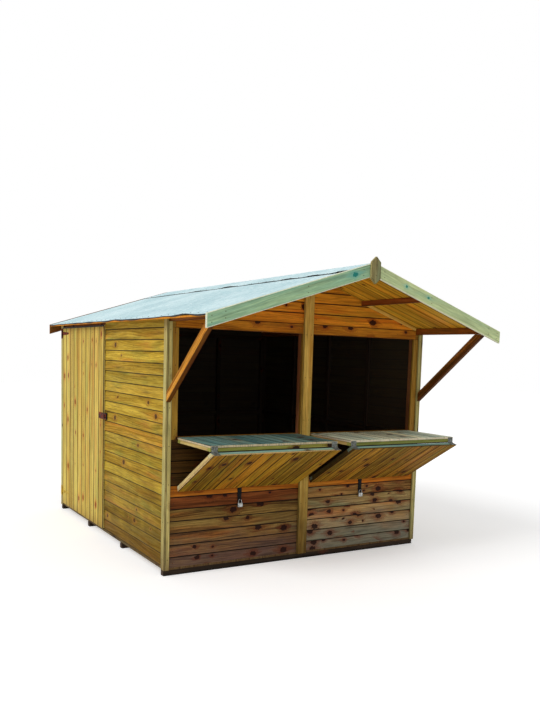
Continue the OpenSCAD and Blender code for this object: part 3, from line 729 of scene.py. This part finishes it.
def shaped(name, solid, *finishes):
    """Object from a finished bmesh, with its finishes in their order."""
    mesh = bpy.data.meshes.new(name)
    solid.to_mesh(mesh)
    solid.free()
    for finish in finishes:
        mesh.materials.append(finish)
    return placed(name, mesh)


steps_x, steps_y = 36, 120
canopy_start, canopy_looser = -0.7, 2.5
lift_reach, wave_height = 0.09, 0.0015
edge_wander, edge_set_back = 0.006, 0.004
eave_wander, eave_droop = 0.002, 0.009
nail_pace = 4


def felt_sheet(name, node, start, end, base, rise, slack):
    """Sheet over the roof from x = start to x = end, its underside on the height base at the ridge.

    It lifts by slack at its free edges, and more over the canopy. Gives places for nails along those edges.
    """
    low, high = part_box(node)
    mesh = bmesh.new()
    rows = []
    for j in range(steps_y + 1):
        y = low.y + (high.y - low.y) * j / steps_y
        ragged = [noise.noise(Vector((side * 5, y * 4.3, start * 7))) for side in (0, 1)]
        ragged = [edge_wander * amount - edge_set_back for amount in ragged]
        row = []
        for i in range(steps_x + 1):
            share = i / steps_x
            short = ragged[0] * (share - 1) * (start != 0) + ragged[1] * share
            x = start + (end - start) * share + short * (1 if end > 0 else -1)
            x = max(low.x, min(high.x, x))
            edge = max(0.0, 1 - min(share if start else 1.0, 1 - share) * abs(end - start) / lift_reach)
            wave = noise.noise(Vector((x * 2.3, y * 1.4, 3.0))) * wave_height
            loose = slack * (1 + canopy_looser * max(0.0, canopy_start - y)) * edge ** 2
            curl = noise.noise(Vector((9.0, y * 3.4, round(start + end, 1) + share)))
            curl = max(0.0, 0.25 + curl) * loose
            droop = 0.0
            if share == 1 and start == 0:
                x = max(abs(x), abs(end) - eave_wander) * (1 if end > 0 else -1)
                droop = eave_droop * max(0.3, 0.55 + noise.noise(Vector((y * 5.0, 4.0, end))))
            z = base - abs(x) * roof_slope + max(wave, 0.0) + curl
            row.append((mesh.verts.new((x, y, z - droop)), mesh.verts.new((x, y, z + rise))))
        rows.append(row)
    cut_faces = []
    for j in range(steps_y):
        for i in range(steps_x):
            a, b, c, d = rows[j][i], rows[j][i + 1], rows[j + 1][i + 1], rows[j + 1][i]
            mesh.faces.new((a[1], b[1], c[1], d[1]))
            cut_faces.append(mesh.faces.new((d[0], c[0], b[0], a[0])))
        for i in (0, steps_x):
            p, q = rows[j][i], rows[j + 1][i]
            cut_faces.append(mesh.faces.new((p[0], p[1], q[1], q[0])))
    for i in range(steps_x):
        for j in (0, steps_y):
            p, q = rows[j][i], rows[j][i + 1]
            cut_faces.append(mesh.faces.new((p[0], p[1], q[1], q[0])))
    for face in cut_faces:
        face.material_index = 1
    bmesh.ops.recalc_face_normals(mesh, faces=mesh.faces[:])
    nail_lines = (1, steps_x - 1) if start else (steps_x - 1,)
    places = [rows[j][i][1].co.copy() for i in nail_lines for j in range(2, steps_y, nail_pace)]
    stand_for(shaped(name, mesh, felt_finish, bitumen_finish), node)
    return places


slope_slack, ridge_slack = 0.006, 0.01
felt_base = felt_high.z - felt_thick
clouts = []
for side, node in ((1, "felt_right"), (-1, "felt_left")):
    clouts += felt_sheet(node + "_sheet", node, 0.0, side * felt_high.x, felt_base, felt_thick, slope_slack)
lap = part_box("felt_ridge")[1].x
ridge_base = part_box("felt_ridge")[1].z - felt_thick
clouts += felt_sheet("felt_ridge_strip", "felt_ridge", -lap, lap, ridge_base, felt_thick, ridge_slack)


# Barge boards and finial
# Planed boards nailed to the ends of the roof timbers, mitred on the ridge.
# At the front they are a bluish sage green from the treatment, with a pointed board over the mitre.
# Their narrow sides and arrises take the near-white cut colour, a painted highlight along the edges.
left_barge_finish = timber("front_barge_left", "a6c496", "6c9a88", "a0b688", "84c0a8", cut="f6f0d4",
                           knot="1f7a70", flush="6aac9c", knots=0.12, contrast=0.65, spread=0.1,
                           groove=0.0, edges=1.0)
right_barge_finish = timber("front_barge_right", "c8d298", "98ae86", "c4be88", "a0c89e", cut="f6f0d4",
                            knot="2a8072", flush="7eb8a4", knots=0.12, contrast=0.6, spread=0.1,
                            groove=0.0, edges=1.0)


def by_side(run, middle):
    return 0 if middle.x < 0 else 1


timbers("front_barge_boards", (left_barge_finish, right_barge_finish), round_off=0.005, choose=by_side,
        bright=True)
finial_finish = timber("finial_timber", "a09866", "64603e", "907444", "86906a", cut="a89a66", knots=0.0,
                       edges=1.0)
timbers("finial", finial_finish, round_off=0.003)
rear_barge_finish = timber("rear_barge_timber", "9c642a", "643a16", "86481c", "74602c", knots=0.2)
timbers("rear_barge_boards", rear_barge_finish, round_off=0.003)


# Canopy braces
# Two sawn timbers that hold up the front ends of the eave beams, nailed at both ends.
# Each is cut to the corner boards at its foot and to the beam above, and its narrow sides carry painted shade.
# The dark cut colour on the narrow sides is painted shade.
left_brace_finish = timber("left_brace_timber", "d4902a", "6a3608", "c46e18", "ac8226", cut="42180a",
                           knots=0.15, contrast=0.9, edges=1.0)
right_brace_finish = timber("right_brace_timber", "b87430", "3c1c08", "985018", "7e6026", cut="4a240e",
                            knots=0.2, contrast=0.95, edges=0.8)
timbers("canopy_braces", (left_brace_finish, right_brace_finish), round_off=0.003, choose=by_side)


# Serving hatches
# Tongued boards nailed across a ring of battens. Each counter lies level, boards upwards, and its prop
# leans back to the wall with its boards outwards. A near-black strip in the gap between the two is painted
# shade, and so are the dark side batten, board sides and batten ends of the right prop.
left_counter_finish = timber("left_counter_boards", "769c96", "42605e", "8c9a80", "5e9494", cut="dcc49a",
                             knots=0.15, contrast=0.85, spread=0.9, damp_top=0.05, groove=0.9, edges=1.0)
right_counter_finish = timber("right_counter_boards", "eef2d8", "a8beac", "f4e8b8", "cce6d2",
                              cut="e8d0ae", knots=0.1, contrast=0.85, spread=0.8, damp_top=0.05,
                              groove=0.9, edges=1.0)
rail_finish = timber("counter_front_battens", "9c9848", "666226", "947c3c", "86944e", knots=0.15)
stile_finish = timber("counter_side_battens", "d6bc78", "9c7c40", "c49c58", "bcb47c", knots=0.15)
prop_finish = timber("prop_boards", "b8881c", "563808", "b46a16", "8c8020", cut="d8b67c", knots=0.2,
                     contrast=0.85, spread=0.6, groove=1.0, edges=1.0)
# Dark cut colour: painted shade on the right prop's board sides and ends.
right_prop_finish = timber("right_prop_boards", "c08c20", "5a3608", "c06616", "908422", cut="4e3c18",
                           knots=0.25, contrast=0.9, spread=0.6, groove=1.0, edges=1.0)
prop_rail_finish = timber("prop_end_battens", "98b8a8", "6a9088", "94a884", "86b4ac", cut="d8be80",
                          knots=0.1)
# Dark cut colour: painted shade on the right prop's batten ends.
right_rail_finish = timber("right_prop_end_battens", "98b8a8", "6a9088", "94a884", "86b4ac", cut="4e3c18",
                           knots=0.1)
prop_stile_finish = timber("prop_side_battens", "d8be80", "9c8048", "c8a460", "bcb484", knots=0.1)
# Near black: painted shade on the right prop's left batten.
shaded_stile_finish = timber("prop_inner_battens", "4e3e1c", "30240e", "48341a", "423a1c", knots=0.1)
hatch_boards = 11


def halves(node):
    """Box of the right-hand solid of a node that lies on both sides, and its mirror."""
    low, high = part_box(node)
    inner = min(v.co.x for v in frame["nodes"][node].data.vertices if v.co.x > 0)
    return ((inner, high.x), (-high.x, -inner))


low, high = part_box("counter_boards")
counters = []
for number, (x0, x1) in enumerate(halves("counter_boards")):
    corner = Vector((x0, (low.y + high.y) / 2, (low.z + high.z) / 2))
    counters.append(grown(f"counter_boards_{number}", board_row, laid(corner, -BACK, RIGHT, UP),
                          Count=hatch_boards, Cover=(x1 - x0) / hatch_boards, Length=high.y - low.y,
                          Thickness=high.z - low.z, Easing=0.0025, Lap=0.0, Wander=0.0005, Seed=41 + number,
                          Finish=left_counter_finish if x1 < 0 else right_counter_finish))


def by_run(run, middle):
    return 0 if abs(run.x) > 0.5 else 1


timbers("counter_battens", (rail_finish, stile_finish), choose=by_run)
stand_for(joined("counter_board_rows", counters), "counter_boards")

board_points = [Vector((0, v.co.y, v.co.z)) for v in frame["nodes"]["prop_boards"].data.vertices]
end_outer = min(board_points, key=lambda p: (round(p.y, 4), p.z))
end_inner = max(board_points, key=lambda p: round(p.z, 4))
foot_outer = min(board_points, key=lambda p: (round(p.z, 4), p.y))
slope_up = end_outer - foot_outer
prop_length = slope_up.length
slope_up.normalize()
prop_out = Vector((0, -slope_up.z, slope_up.y))
prop_end = (end_outer - end_inner).cross(RIGHT)
prop_end *= 1 if prop_end.z > 0 else -1
hatch_board_thick = high.z - low.z
prop_middle = (end_outer + foot_outer) / 2 - prop_out * hatch_board_thick / 2
props = []
for number, (x0, x1) in enumerate(halves("prop_boards")):
    corner = Vector((x0, prop_middle.y, prop_middle.z))
    props.append(grown(f"prop_boards_{number}", board_row, laid(corner, slope_up, RIGHT, prop_out),
                       Count=hatch_boards, Cover=(x1 - x0) / hatch_boards, Length=prop_length,
                       Thickness=hatch_board_thick, Easing=0.003, Lap=0.0, Wander=0.0005,
                       Seed=51 + number, Finish=prop_finish if x1 < 0 else right_prop_finish))
prop_rows = cut(joined("prop_board_rows", props), end_outer, prop_end.normalized())
stand_for(prop_rows, "prop_boards")


shaded_stile_end = 0.5


def by_run_and_side(run, middle):
    if abs(run.x) > 0.5:
        return by_side(run, middle)
    return 3 if 0 < middle.x < shaded_stile_end else 2


prop_finishes = (prop_rail_finish, right_rail_finish, prop_stile_finish, shaded_stile_finish)
timbers("prop_battens", prop_finishes, choose=by_run_and_side)

# Near-black strip in the gap between counter and prop: painted shade.
gap_shade_in, gap_shade_wide, gap_shade_short, gap_shade_clearance = 0.003, 0.02, 0.004, 0.0002
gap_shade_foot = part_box("prop_battens")[1].z + gap_shade_clearance
gap_shade_low = Vector((0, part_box("counter_battens")[0].y + gap_shade_in, gap_shade_foot))
gap_shade_high = Vector((0, gap_shade_low.y + gap_shade_wide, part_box("counter_battens")[0].z))
gap_shade_mesh = bmesh.new()
for x0, x1 in halves("counter_boards"):
    span = gap_shade_high - gap_shade_low + RIGHT * (x1 - x0 - gap_shade_short)
    middle = (gap_shade_low + gap_shade_high) / 2 + RIGHT * (x0 + x1) / 2
    bmesh.ops.create_cube(gap_shade_mesh, size=1, matrix=Matrix.Translation(middle) @ Matrix.Diagonal((*span, 1)))
weather_strips = shaped("weather_strips", gap_shade_mesh, bitumen_finish)
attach(weather_strips, "hut")


# Hatch ironwork
# Pressed steel fittings, screwed on: galvanised butt hinges between counter and prop,
# and black japanned hasps on the wall, each with a bright padlock in its staple.
def metal(name, bright, dull, rust, rusted, metallic, roughness):
    """Plain iron or zinc finish, with dull patches and rust in the amounts given."""
    material, tree, shader, spot = plain_finish(name, roughness)
    patch = ramp(tree, speckle(tree, spot, 4.0, scale=60.0), 0.35, 0.65)
    spread = ramp(tree, speckle(tree, spot, 5.0, scale=35.0, roughness=0.65), 0.75 - rusted, 0.9 - rusted)
    colour = mix(tree, patch, linear(bright), linear(dull))
    colour = mix(tree, spread, colour, linear(rust))
    shader.inputs["Specular IOR Level"].default_value = 0.15
    tree.links.new(colour, shader.inputs["Base Color"])
    if metallic:
        tree.links.new(times(tree, minus(tree, 1.0, spread), metallic), shader.inputs["Metallic"])
    rough = ramp(tree, plus(tree, patch, spread), 0.0, 2.0, roughness, 0.9)
    tree.links.new(rough, shader.inputs["Roughness"])
    bumps = {"Strength": 0.4, "Distance": 0.0006, "Height": speckle(tree, spot, 3.0, scale=350.0)}
    tree.links.new(wire(tree, "ShaderNodeBump", by_name=bumps), shader.inputs["Normal"])
    return material


sharp_angle = 0.6


def eased(node, material, round_off=0.0008):
    """Ironwork of a CAD node with its sharp edges rounded a little, so that they catch the light."""
    solid = merged(node)
    shared = [edge for edge in solid.edges if len(edge.link_faces) == 2]
    sharp = [edge for edge in shared if edge.calc_face_angle() > sharp_angle]
    bmesh.ops.bevel(solid, geom=sharp, offset=round_off, segments=2, profile=0.5, affect="EDGES",
                    clamp_overlap=True)
    piece = shaped(node + "_ironwork", solid, material)
    piece.data.shade_smooth()
    piece.data.set_sharp_from_angle(angle=sharp_angle)
    return stand_for(piece, node)


zinc = metal("zinc_plate", "7a7d78", "565953", "5e5040", rusted=0.12, metallic=0.6, roughness=0.5)
polished = metal("padlock_steel", "c4c6c4", "8e918f", "6a5a48", rusted=0.06, metallic=0.9, roughness=0.3)
black_iron = metal("black_iron", "141415", "0b0b0c", "3c2418", rusted=0.14, metallic=0.0, roughness=0.6)
rusty_iron = metal("rusty_iron", "3a2822", "1e1614", "84301a", rusted=0.3, metallic=0.3, roughness=0.65)
eased("hatch_hinges", zinc)
eased("padlocks", polished, round_off=0.0015)
eased("hatch_hasps", black_iron)


# Door
# Ten tongued boards on ledges and braces, hung on the rear corner with strap hinges.
# Pale and streaky, with a rusty hasp at its front edge, a strip of bitumen felt along its foot, and a
# near-black strip along its head that is painted shade for the gap over the door.
door_finish = timber("door_boards", "dac460", "9e762a", "ca8a38", "b8b45a", damp_and_shade="967636", knot="7c3a14",
                     flush="b8682a", cut="d2c070", knots=0.22, contrast=0.7, spread=0.4, damp_top=0.2,
                     groove=1.0, edges=1.0, inside=0.5)
door_boards = 10
low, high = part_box("door_boards")
corner = Vector(((low.x + high.x) / 2, low.y, (low.z + high.z) / 2))
door_row = grown("door_board_row", board_row, laid(corner, UP, BACK, -RIGHT), Count=door_boards,
                 Cover=(high.y - low.y) / door_boards, Length=high.z - low.z, Thickness=high.x - low.x,
                 Easing=0.004, Lap=0.0, Wander=0.0, Seed=61, Finish=door_finish)
stand_for(door_row, "door_boards")
ledge_finish = timber("door_ledges", "a88c48", "6c5226", "946430", "8a8444", knots=0.25)
timbers("door_ledges", ledge_finish)

door_strip_thick = 0.0025
door_strip_steps = 40


def lofted(mesh, rings):
    """Skin over rings of points, with both ends filled."""
    for first, second in zip(rings, rings[1:]):
        for i in range(len(first)):
            mesh.faces.new((first[i - 1], first[i], second[i], second[i - 1]))
    mesh.faces.new(rings[0])
    mesh.faces.new(rings[-1])


def door_strip(mesh, face, foot, section, start, end):
    """Dark strip along the door in the bitumen finish, its section given as steps inwards and up from its
    foot.
    """
    rings = []
    for step in range(door_strip_steps + 1):
        y = start + (end - start) * step / door_strip_steps
        sway = 0.5 + noise.noise(Vector((y * 3.1, 2.0, 7.0)))
        outer = [Vector((face + inward * sway, y, foot + up)) for inward, up in section]
        inner = [spot + RIGHT * door_strip_thick for spot in reversed(outer)]
        rings.append([mesh.verts.new(spot) for spot in outer + inner])
    lofted(mesh, rings)


felt_and_shade = bmesh.new()
foot_section = ((0.0, 0.045), (0.0, 0.02), (0.002, 0.008), (0.006, 0.0))
foot_end, foot_clear = 0.008, 0.001
foot_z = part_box("floor")[1].z + foot_clear
door_strip(felt_and_shade, high.x, foot_z, foot_section, low.y + foot_end, high.y - foot_end)
# The head strip stands for the dark gap over the door: painted shade.
head_deep, head_proud, head_clear = 0.014, 0.002, 0.0005
head_front_end, head_hinge_end = 0.003, 0.012
head_section = ((0.0, head_deep), (0.0, 0.0))
head_z = high.z - head_deep - head_clear
door_strip(felt_and_shade, low.x - head_proud, head_z, head_section, low.y + head_front_end,
           high.y - head_hinge_end)
bmesh.ops.recalc_face_normals(felt_and_shade, faces=felt_and_shade.faces[:])
felt_and_shade_strip = shaped("door_draught_strip", felt_and_shade, bitumen_finish)
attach(felt_and_shade_strip, "door")

yellow_zinc = metal("yellow_zinc", "ccaa38", "a2842a", "7a5a24", rusted=0.1, metallic=0.3, roughness=0.5)
low_hinge_top = 0.9
for node in ("door_hinge_straps", "door_hinge_jambs"):
    hinge = eased(node, rusty_iron)
    hinge.data.materials.append(yellow_zinc)
    for face in hinge.data.polygons:
        face.material_index = int(face.center.z < low_hinge_top)
eased("door_hasp", rusty_iron)
eased("door_staple", black_iron)


# Gable cover strips
# Thin planed strips nailed over the sloping ends of the gable boards, close under the roof,
# from the purlins down to the eave beams.
def timber_boxes(node):
    """Boxes round the single solids of a CAD node."""
    solid = merged(node)
    solid.faces.index_update()
    boxes = []
    for group in islands(solid):
        spots = [v.co for face in group for v in face.verts]
        boxes.append((Vector(min(p[i] for p in spots) for i in range(3)),
                      Vector(max(p[i] for p in spots) for i in range(3))))
    solid.free()
    return boxes


cover_strip_finish = timber("cover_strips", "ffd468", "dca03c", "f4b44a", "f0d274", knots=0.0, groove=0.0)
cover_out, cover_deep, cover_clear = 0.012, 0.022, 0.0005
cover_drop = cover_deep / math.cos(pitch)
gable_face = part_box("front_gable")[0].y
cover_start = max(high.x for _, high in timber_boxes("purlins")) + cover_clear
cover_stop = min(low.x for low, _ in timber_boxes("eave_beams") if low.x > 0) - cover_clear
head_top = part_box("head_board")[1].z
cover_stop = min(cover_stop, (ridge_z - cover_drop - head_top) / roof_slope - cover_clear)
covers = bmesh.new()
for side in (-1, 1):
    rings = []
    for x in (cover_start, cover_stop):
        top = ridge_z - cover_clear - x * roof_slope
        back, front = gable_face - cover_clear / 2, gable_face - cover_out
        section = ((back, top), (front, top), (front, top - cover_drop), (back, top - cover_drop))
        rings.append([covers.verts.new((side * x, y, z)) for y, z in section])
    lofted(covers, rings)
bmesh.ops.recalc_face_normals(covers, faces=covers.faces[:])
cover_strips = sawn("gable_cover_strips", covers, cover_strip_finish, round_off=0.0015)
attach(cover_strips, "hut")


# Nails and screws
# Wire nails through the boards into every stud, ledge and batten, clout nails along the felt's edges,
# and screws in the ironwork. The heads are low and round, set a little into what they hold.
def head_tree():
    """Fixing heads: a low round head on every point, turned to the point's own direction."""
    tree = bpy.data.node_groups.new("fixing heads", "GeometryNodeTree")
    sockets(tree, "INPUT", Points="Geometry", Radius="Float", Height="Float", Finish="Material")
    sockets(tree, "OUTPUT", Geometry="Geometry")
    given = tree.nodes.new("NodeGroupInput").outputs
    head_sides, top_share = 10, 0.65
    top = times(tree, given["Radius"], top_share)
    sizes = {"Vertices": head_sides, "Radius Top": top, "Radius Bottom": given["Radius"],
             "Depth": given["Height"]}
    head = wire(tree, "GeometryNodeMeshCone", by_name=sizes)
    out = wire(tree, "GeometryNodeInputNamedAttribute", "out", data_type="FLOAT_VECTOR")
    turned = wire(tree, "FunctionNodeAlignRotationToVector", by_name={"Vector": out}, axis="Z")
    each = {"Instance": head, "Rotation": turned}
    row = wire(tree, "GeometryNodeInstanceOnPoints", given["Points"], by_name=each)
    row = wire(tree, "GeometryNodeRealizeInstances", row)
    row = wire(tree, "GeometryNodeSetMaterial", row, None, given["Finish"])
    wire(tree, "NodeGroupOutput", row)
    return tree


heads = head_tree()
head_height = 0.55


def fixings(name, body, spots, radius, finish):
    """Heads of one kind on the spots given, riding on one body."""
    piece = grown(name, heads, Matrix(), points=spots, Radius=radius, Height=radius * head_height,
                  Finish=finish)
    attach(piece, body)


def even(start, end, pace):
    """Even places from start to end, about pace apart."""
    count = max(1, round((end - start) / pace))
    return [start + (end - start) * i / count for i in range(count + 1)]


def on_face(node, out, across, z, sink=0.0005):
    """Spot for a head on the face of a node's box that looks to out."""
    low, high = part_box(node)
    face = low if out.x + out.y < 0 else high
    spot = Vector((face.x, across, z)) if out.x else Vector((across, face.y, z))
    return spot - out * sink, out


def board_middles(foot, cover, first, last):
    """Heights of the middles of level boards, from the first number up to the last."""
    return [foot + cover * (row + 0.5) for row in range(first, last)]


# Nails in every board of the side and rear walls, at each stud
nails = []
board_sink = wall_lap / 2 + 0.0006
shortest_stud, end_margin = 1.0, 0.02
wall_heights = board_middles(wall_foot, wall_cover, 0, wall_rows)
walls = (("left_cladding", -RIGHT, BACK, "left_frame"), ("right_cladding", RIGHT, BACK, "right_frame"),
         ("rear_cladding", BACK, RIGHT, "rear_frame"))
for node, out, along, studs in walls:
    low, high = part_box(node)
    for stud_low, stud_high in timber_boxes(studs):
        middle = ((stud_low + stud_high) / 2).dot(along)
        if stud_high.z - stud_low.z > shortest_stud and low.dot(along) < middle < high.dot(along):
            nails += [on_face(node, out, middle, z, board_sink) for z in wall_heights
                      if low.z + end_margin < z < stud_high.z - end_margin]

# Nails on the front, the corners and the barge boards, at distances from the middle on both sides
front_stud, jamb_middle, post_nails, corner_middle = 1.096, 1.1, 0.022, 1.143
gable_nails, head_nails, barge_nails = (0.075, 0.47, 0.62), (0.08, 0.48, 0.9), (0.09, 0.53, 1.122, 1.215)
gable_margin, corner_in, barge_step, finial_step = 0.06, 0.03, 0.02, 0.035
front_heights = board_middles(front_foot, front_cover, 1, front_rows - 1)
gable_heights = board_middles(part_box("front_gable")[0].z, gable_cover, 0, gable_rows)
head_middle = (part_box("head_board")[0].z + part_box("head_board")[1].z) / 2
corner_heights = even(start=0.12, end=1.76, pace=0.27)
jamb_heights = even(start=1.06, end=1.74, pace=0.22)
post_heights = even(start=0.12, end=2.1, pace=0.33)
for side in (-1, 1):
    nails += [on_face("front_cladding", -BACK, side * front_stud, z, board_sink) for z in front_heights]
    for x in gable_nails:
        nails += [on_face("front_gable", -BACK, side * x, z, board_sink) for z in gable_heights
                  if z < ridge_z - x * roof_slope - gable_margin]
    nails += [on_face("head_board", -BACK, side * x, head_middle) for x in head_nails]
    nails += [on_face("jamb_boards", -BACK, side * jamb_middle, z) for z in jamb_heights]
    nails += [on_face("centre_post", -BACK, side * post_nails, z) for z in post_heights]
    for node, out in (("front_corner_boards", -BACK), ("rear_corner_boards", BACK)):
        nails += [on_face(node, out, side * corner_middle, z) for z in corner_heights]
    low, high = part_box("side_corner_boards")
    for y in (low.y + corner_in, high.y - corner_in):
        nails += [on_face("side_corner_boards", side * RIGHT, y, z) for z in corner_heights]
    for node, out in (("front_barge_boards", -BACK), ("rear_barge_boards", BACK)):
        low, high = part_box(node)
        centre = high.z - (high.z - low.z - high.x * roof_slope) / 2
        for x in barge_nails:
            heights = [centre - x * roof_slope + up for up in (-barge_step, barge_step)]
            nails += [on_face(node, out, side * x, z) for z in heights]
low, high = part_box("finial")
nails += [on_face("finial", -BACK, 0, (low.z + high.z) / 2 + up) for up in (-finial_step, finial_step)]

# Nails near both ends of every hatch board, and a pair at each ledge of the door
hatch_sink, counter_margin, prop_foot_margin, prop_end_margin = 0.001, 0.022, 0.025, 0.035
low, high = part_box("counter_boards")
for x0, x1 in halves("counter_boards"):
    for i in range(hatch_boards):
        x = x0 + (x1 - x0) * (i + 0.5) / hatch_boards
        ends = (low.y + counter_margin, high.y - counter_margin)
        nails += [(Vector((x, y, high.z - hatch_sink)), UP) for y in ends]
        spots = [foot_outer + slope_up * run for run in (prop_foot_margin, prop_length - prop_end_margin)]
        nails += [(spot + RIGHT * x - prop_out * hatch_sink, prop_out) for spot in spots]
nail_finish = metal("nail_heads", "4a4038", "2c2420", "5a3018", rusted=0.3, metallic=0.4, roughness=0.6)
fixings("wire_nails", "hut", nails, radius=0.0034, finish=nail_finish)

door_nails = []
ledge_widest, ledge_step, door_sink = 0.12, 0.026, 0.0008
low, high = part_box("door_boards")
for ledge_low, ledge_high in timber_boxes("door_ledges"):
    if ledge_high.z - ledge_low.z < ledge_widest:
        middle = (ledge_low.z + ledge_high.z) / 2
        for i in range(door_boards):
            y = low.y + (high.y - low.y) * (i + 0.5) / door_boards
            heights = (middle - ledge_step, middle + ledge_step)
            door_nails += [on_face("door_boards", -RIGHT, y, z, door_sink) for z in heights]
fixings("door_nails", "door", door_nails, radius=0.0032, finish=nail_finish)

# Clout nails stand square to the roof
clout_sink = 0.0005
roof_up = [Vector((side * math.sin(pitch), 0, math.cos(pitch))) for side in (-1, 1)]
clout_spots = [(spot - roof_up[spot.x > 0] * clout_sink, roof_up[spot.x > 0]) for spot in clouts]
fixings("clout_nails", "hut", clout_spots, radius=0.005, finish=zinc)

# Screws in the door's hinges and hasp
strap_screws, jamb_screws = [], []
plate_proud, strap_runs, jamb_run, jamb_step = 0.0031, (0.045, 0.105, 0.165), 0.02, 0.033
door_hasp_runs, door_hasp_step = (0.02, 0.09), 0.015
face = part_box("door_boards")[0].x - plate_proud
for low, high in timber_boxes("door_hinge_straps"):
    middle = (low.z + high.z) / 2
    strap_screws += [(Vector((face, high.y - run, middle)), -RIGHT) for run in strap_runs]
    heights = (middle - jamb_step, middle + jamb_step)
    jamb_screws += [(Vector((face, high.y + jamb_run, z)), -RIGHT) for z in heights]
low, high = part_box("door_hasp")
heights = [(low.z + high.z) / 2 + up for up in (-door_hasp_step, door_hasp_step)]
strap_screws += [(Vector((low.x, high.y - run, z)), -RIGHT) for run in door_hasp_runs for z in heights]
screw_radius = 0.004
fixings("door_strap_screws", "door", strap_screws, screw_radius, rusty_iron)
fixings("hinge_plate_screws", "hut", jamb_screws, screw_radius, rusty_iron)

# Screws in the hatches' hasps and hinges
hasp_screws, hinge_screws = [], []
hasp_drops, hinge_in, hinge_step, hinge_proud, hinge_drop = (0.016, 0.05), 0.029, 0.014, 0.0026, 0.012
hasp_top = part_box("hatch_hasps")[1].z
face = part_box("front_cladding")[0].y - plate_proud
low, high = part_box("counter_boards")
for side in (-1, 1):
    middle = side * (high.x + halves("counter_boards")[0][0]) / 2
    hasp_screws += [(Vector((middle, face, hasp_top - drop)), -BACK) for drop in hasp_drops]
for x0, x1 in halves("counter_boards"):
    for hinge in (x0 + hinge_in, x1 - hinge_in):
        hinge_screws += [(Vector((hinge + step, low.y - hinge_proud, high.z - hinge_drop)), -BACK)
                         for step in (-hinge_step, hinge_step)]
fixings("hasp_screws", "hut", hasp_screws, screw_radius, black_iron)
fixings("hinge_screws", "hut", hinge_screws, radius=0.0032, finish=zinc)


# Stage, light and camera
# A matt pale floor, soft light from the front left with a little from straight ahead,
# and the viewpoint of someone who stands off the front left corner.
def seen_by(tree):
    """1 for what the camera sees straight, mirrored or through glass, and 0 for light on things."""
    path = tree.nodes.new("ShaderNodeLightPath").outputs
    mirrored = maths(tree, "MAXIMUM", path["Is Camera Ray"], path["Is Glossy Ray"])
    return maths(tree, "MAXIMUM", mirrored, path["Is Transmission Ray"])


def pale_floor():
    """Matt pale floor that the camera sees as white, apart from the object's shadow."""
    material = bpy.data.materials.new("pale_floor")
    material.use_nodes = True
    tree = material.node_tree
    shader = tree.nodes["Principled BSDF"]
    shader.inputs["Base Color"].default_value = (0.9, 0.9, 0.9, 1)
    shader.inputs["Roughness"].default_value = 0.9
    shader.inputs["Specular IOR Level"].default_value = 0.0
    lift, lift_strength = tree.nodes.new("ShaderNodeEmission"), 0.32
    tree.links.new(times(tree, seen_by(tree), lift_strength), lift.inputs["Strength"])
    both = tree.nodes.new("ShaderNodeAddShader")
    tree.links.new(shader.outputs[0], both.inputs[0])
    tree.links.new(lift.outputs[0], both.inputs[1])
    tree.links.new(both.outputs[0], tree.nodes["Material Output"].inputs["Surface"])
    return material


floor_size = 60.0
bpy.ops.mesh.primitive_plane_add(size=floor_size)
ground = bpy.context.object
ground.name = "studio_floor"
ground.data.materials.append(pale_floor())

world = bpy.data.worlds.new("studio")
bpy.context.scene.world = world
world.use_nodes = True
tree = world.node_tree
lit = tree.nodes["Background"]
lit.inputs["Color"].default_value = (1, 1, 1, 1)
lit.inputs["Strength"].default_value = 0.5
white = tree.nodes.new("ShaderNodeBackground")
white.inputs["Color"].default_value = (1, 1, 1, 1)
white.inputs["Strength"].default_value = 1.0
choice = tree.nodes.new("ShaderNodeMixShader")
tree.links.new(seen_by(tree), choice.inputs[0])
tree.links.new(lit.outputs[0], choice.inputs[1])
tree.links.new(white.outputs[0], choice.inputs[2])
tree.links.new(choice.outputs[0], tree.nodes["World Output"].inputs["Surface"])


def soft_sun(name, towards, strength, spread):
    """Sun lamp that shines along the direction given, with soft shadows."""
    lamp = bpy.data.lights.new(name, "SUN")
    lamp.energy = strength
    lamp.angle = math.radians(spread)
    placed(name, lamp).rotation_euler = Vector(towards).to_track_quat("-Z", "Y").to_euler()


soft_sun("key", (0.8, 0.1, -0.6), strength=1.6, spread=30)
soft_sun("front", (0.15, 0.6, -0.6), strength=0.35, spread=60)

view_place = Vector((-3.2268, -5.9328, 1.5914))
view_yaw, view_pitch, view_roll = 0.5599, -0.1015, 0.0323
view_focal = 754.47
view_centre = (290.0, 434.47)
image_width, image_height = 540, 720
sensor = 36.0
ahead = Vector((math.sin(view_yaw) * math.cos(view_pitch), math.cos(view_yaw) * math.cos(view_pitch),
                math.sin(view_pitch)))
level = Vector((math.cos(view_yaw), -math.sin(view_yaw), 0))
upright = level.cross(ahead)
across_view = math.cos(view_roll) * level + math.sin(view_roll) * upright
up_view = math.cos(view_roll) * upright - math.sin(view_roll) * level
camera = bpy.data.cameras.new("camera")
camera.sensor_width = sensor
camera.lens = view_focal * sensor / image_height
camera.shift_x = (image_width / 2 - view_centre[0]) / image_height
camera.shift_y = (view_centre[1] - image_height / 2) / image_height
viewer = placed("camera", camera)
viewer.matrix_world = laid(view_place, across_view, up_view, -ahead)
bpy.context.scene.camera = viewer
bpy.context.scene.view_settings.view_transform = "Standard"
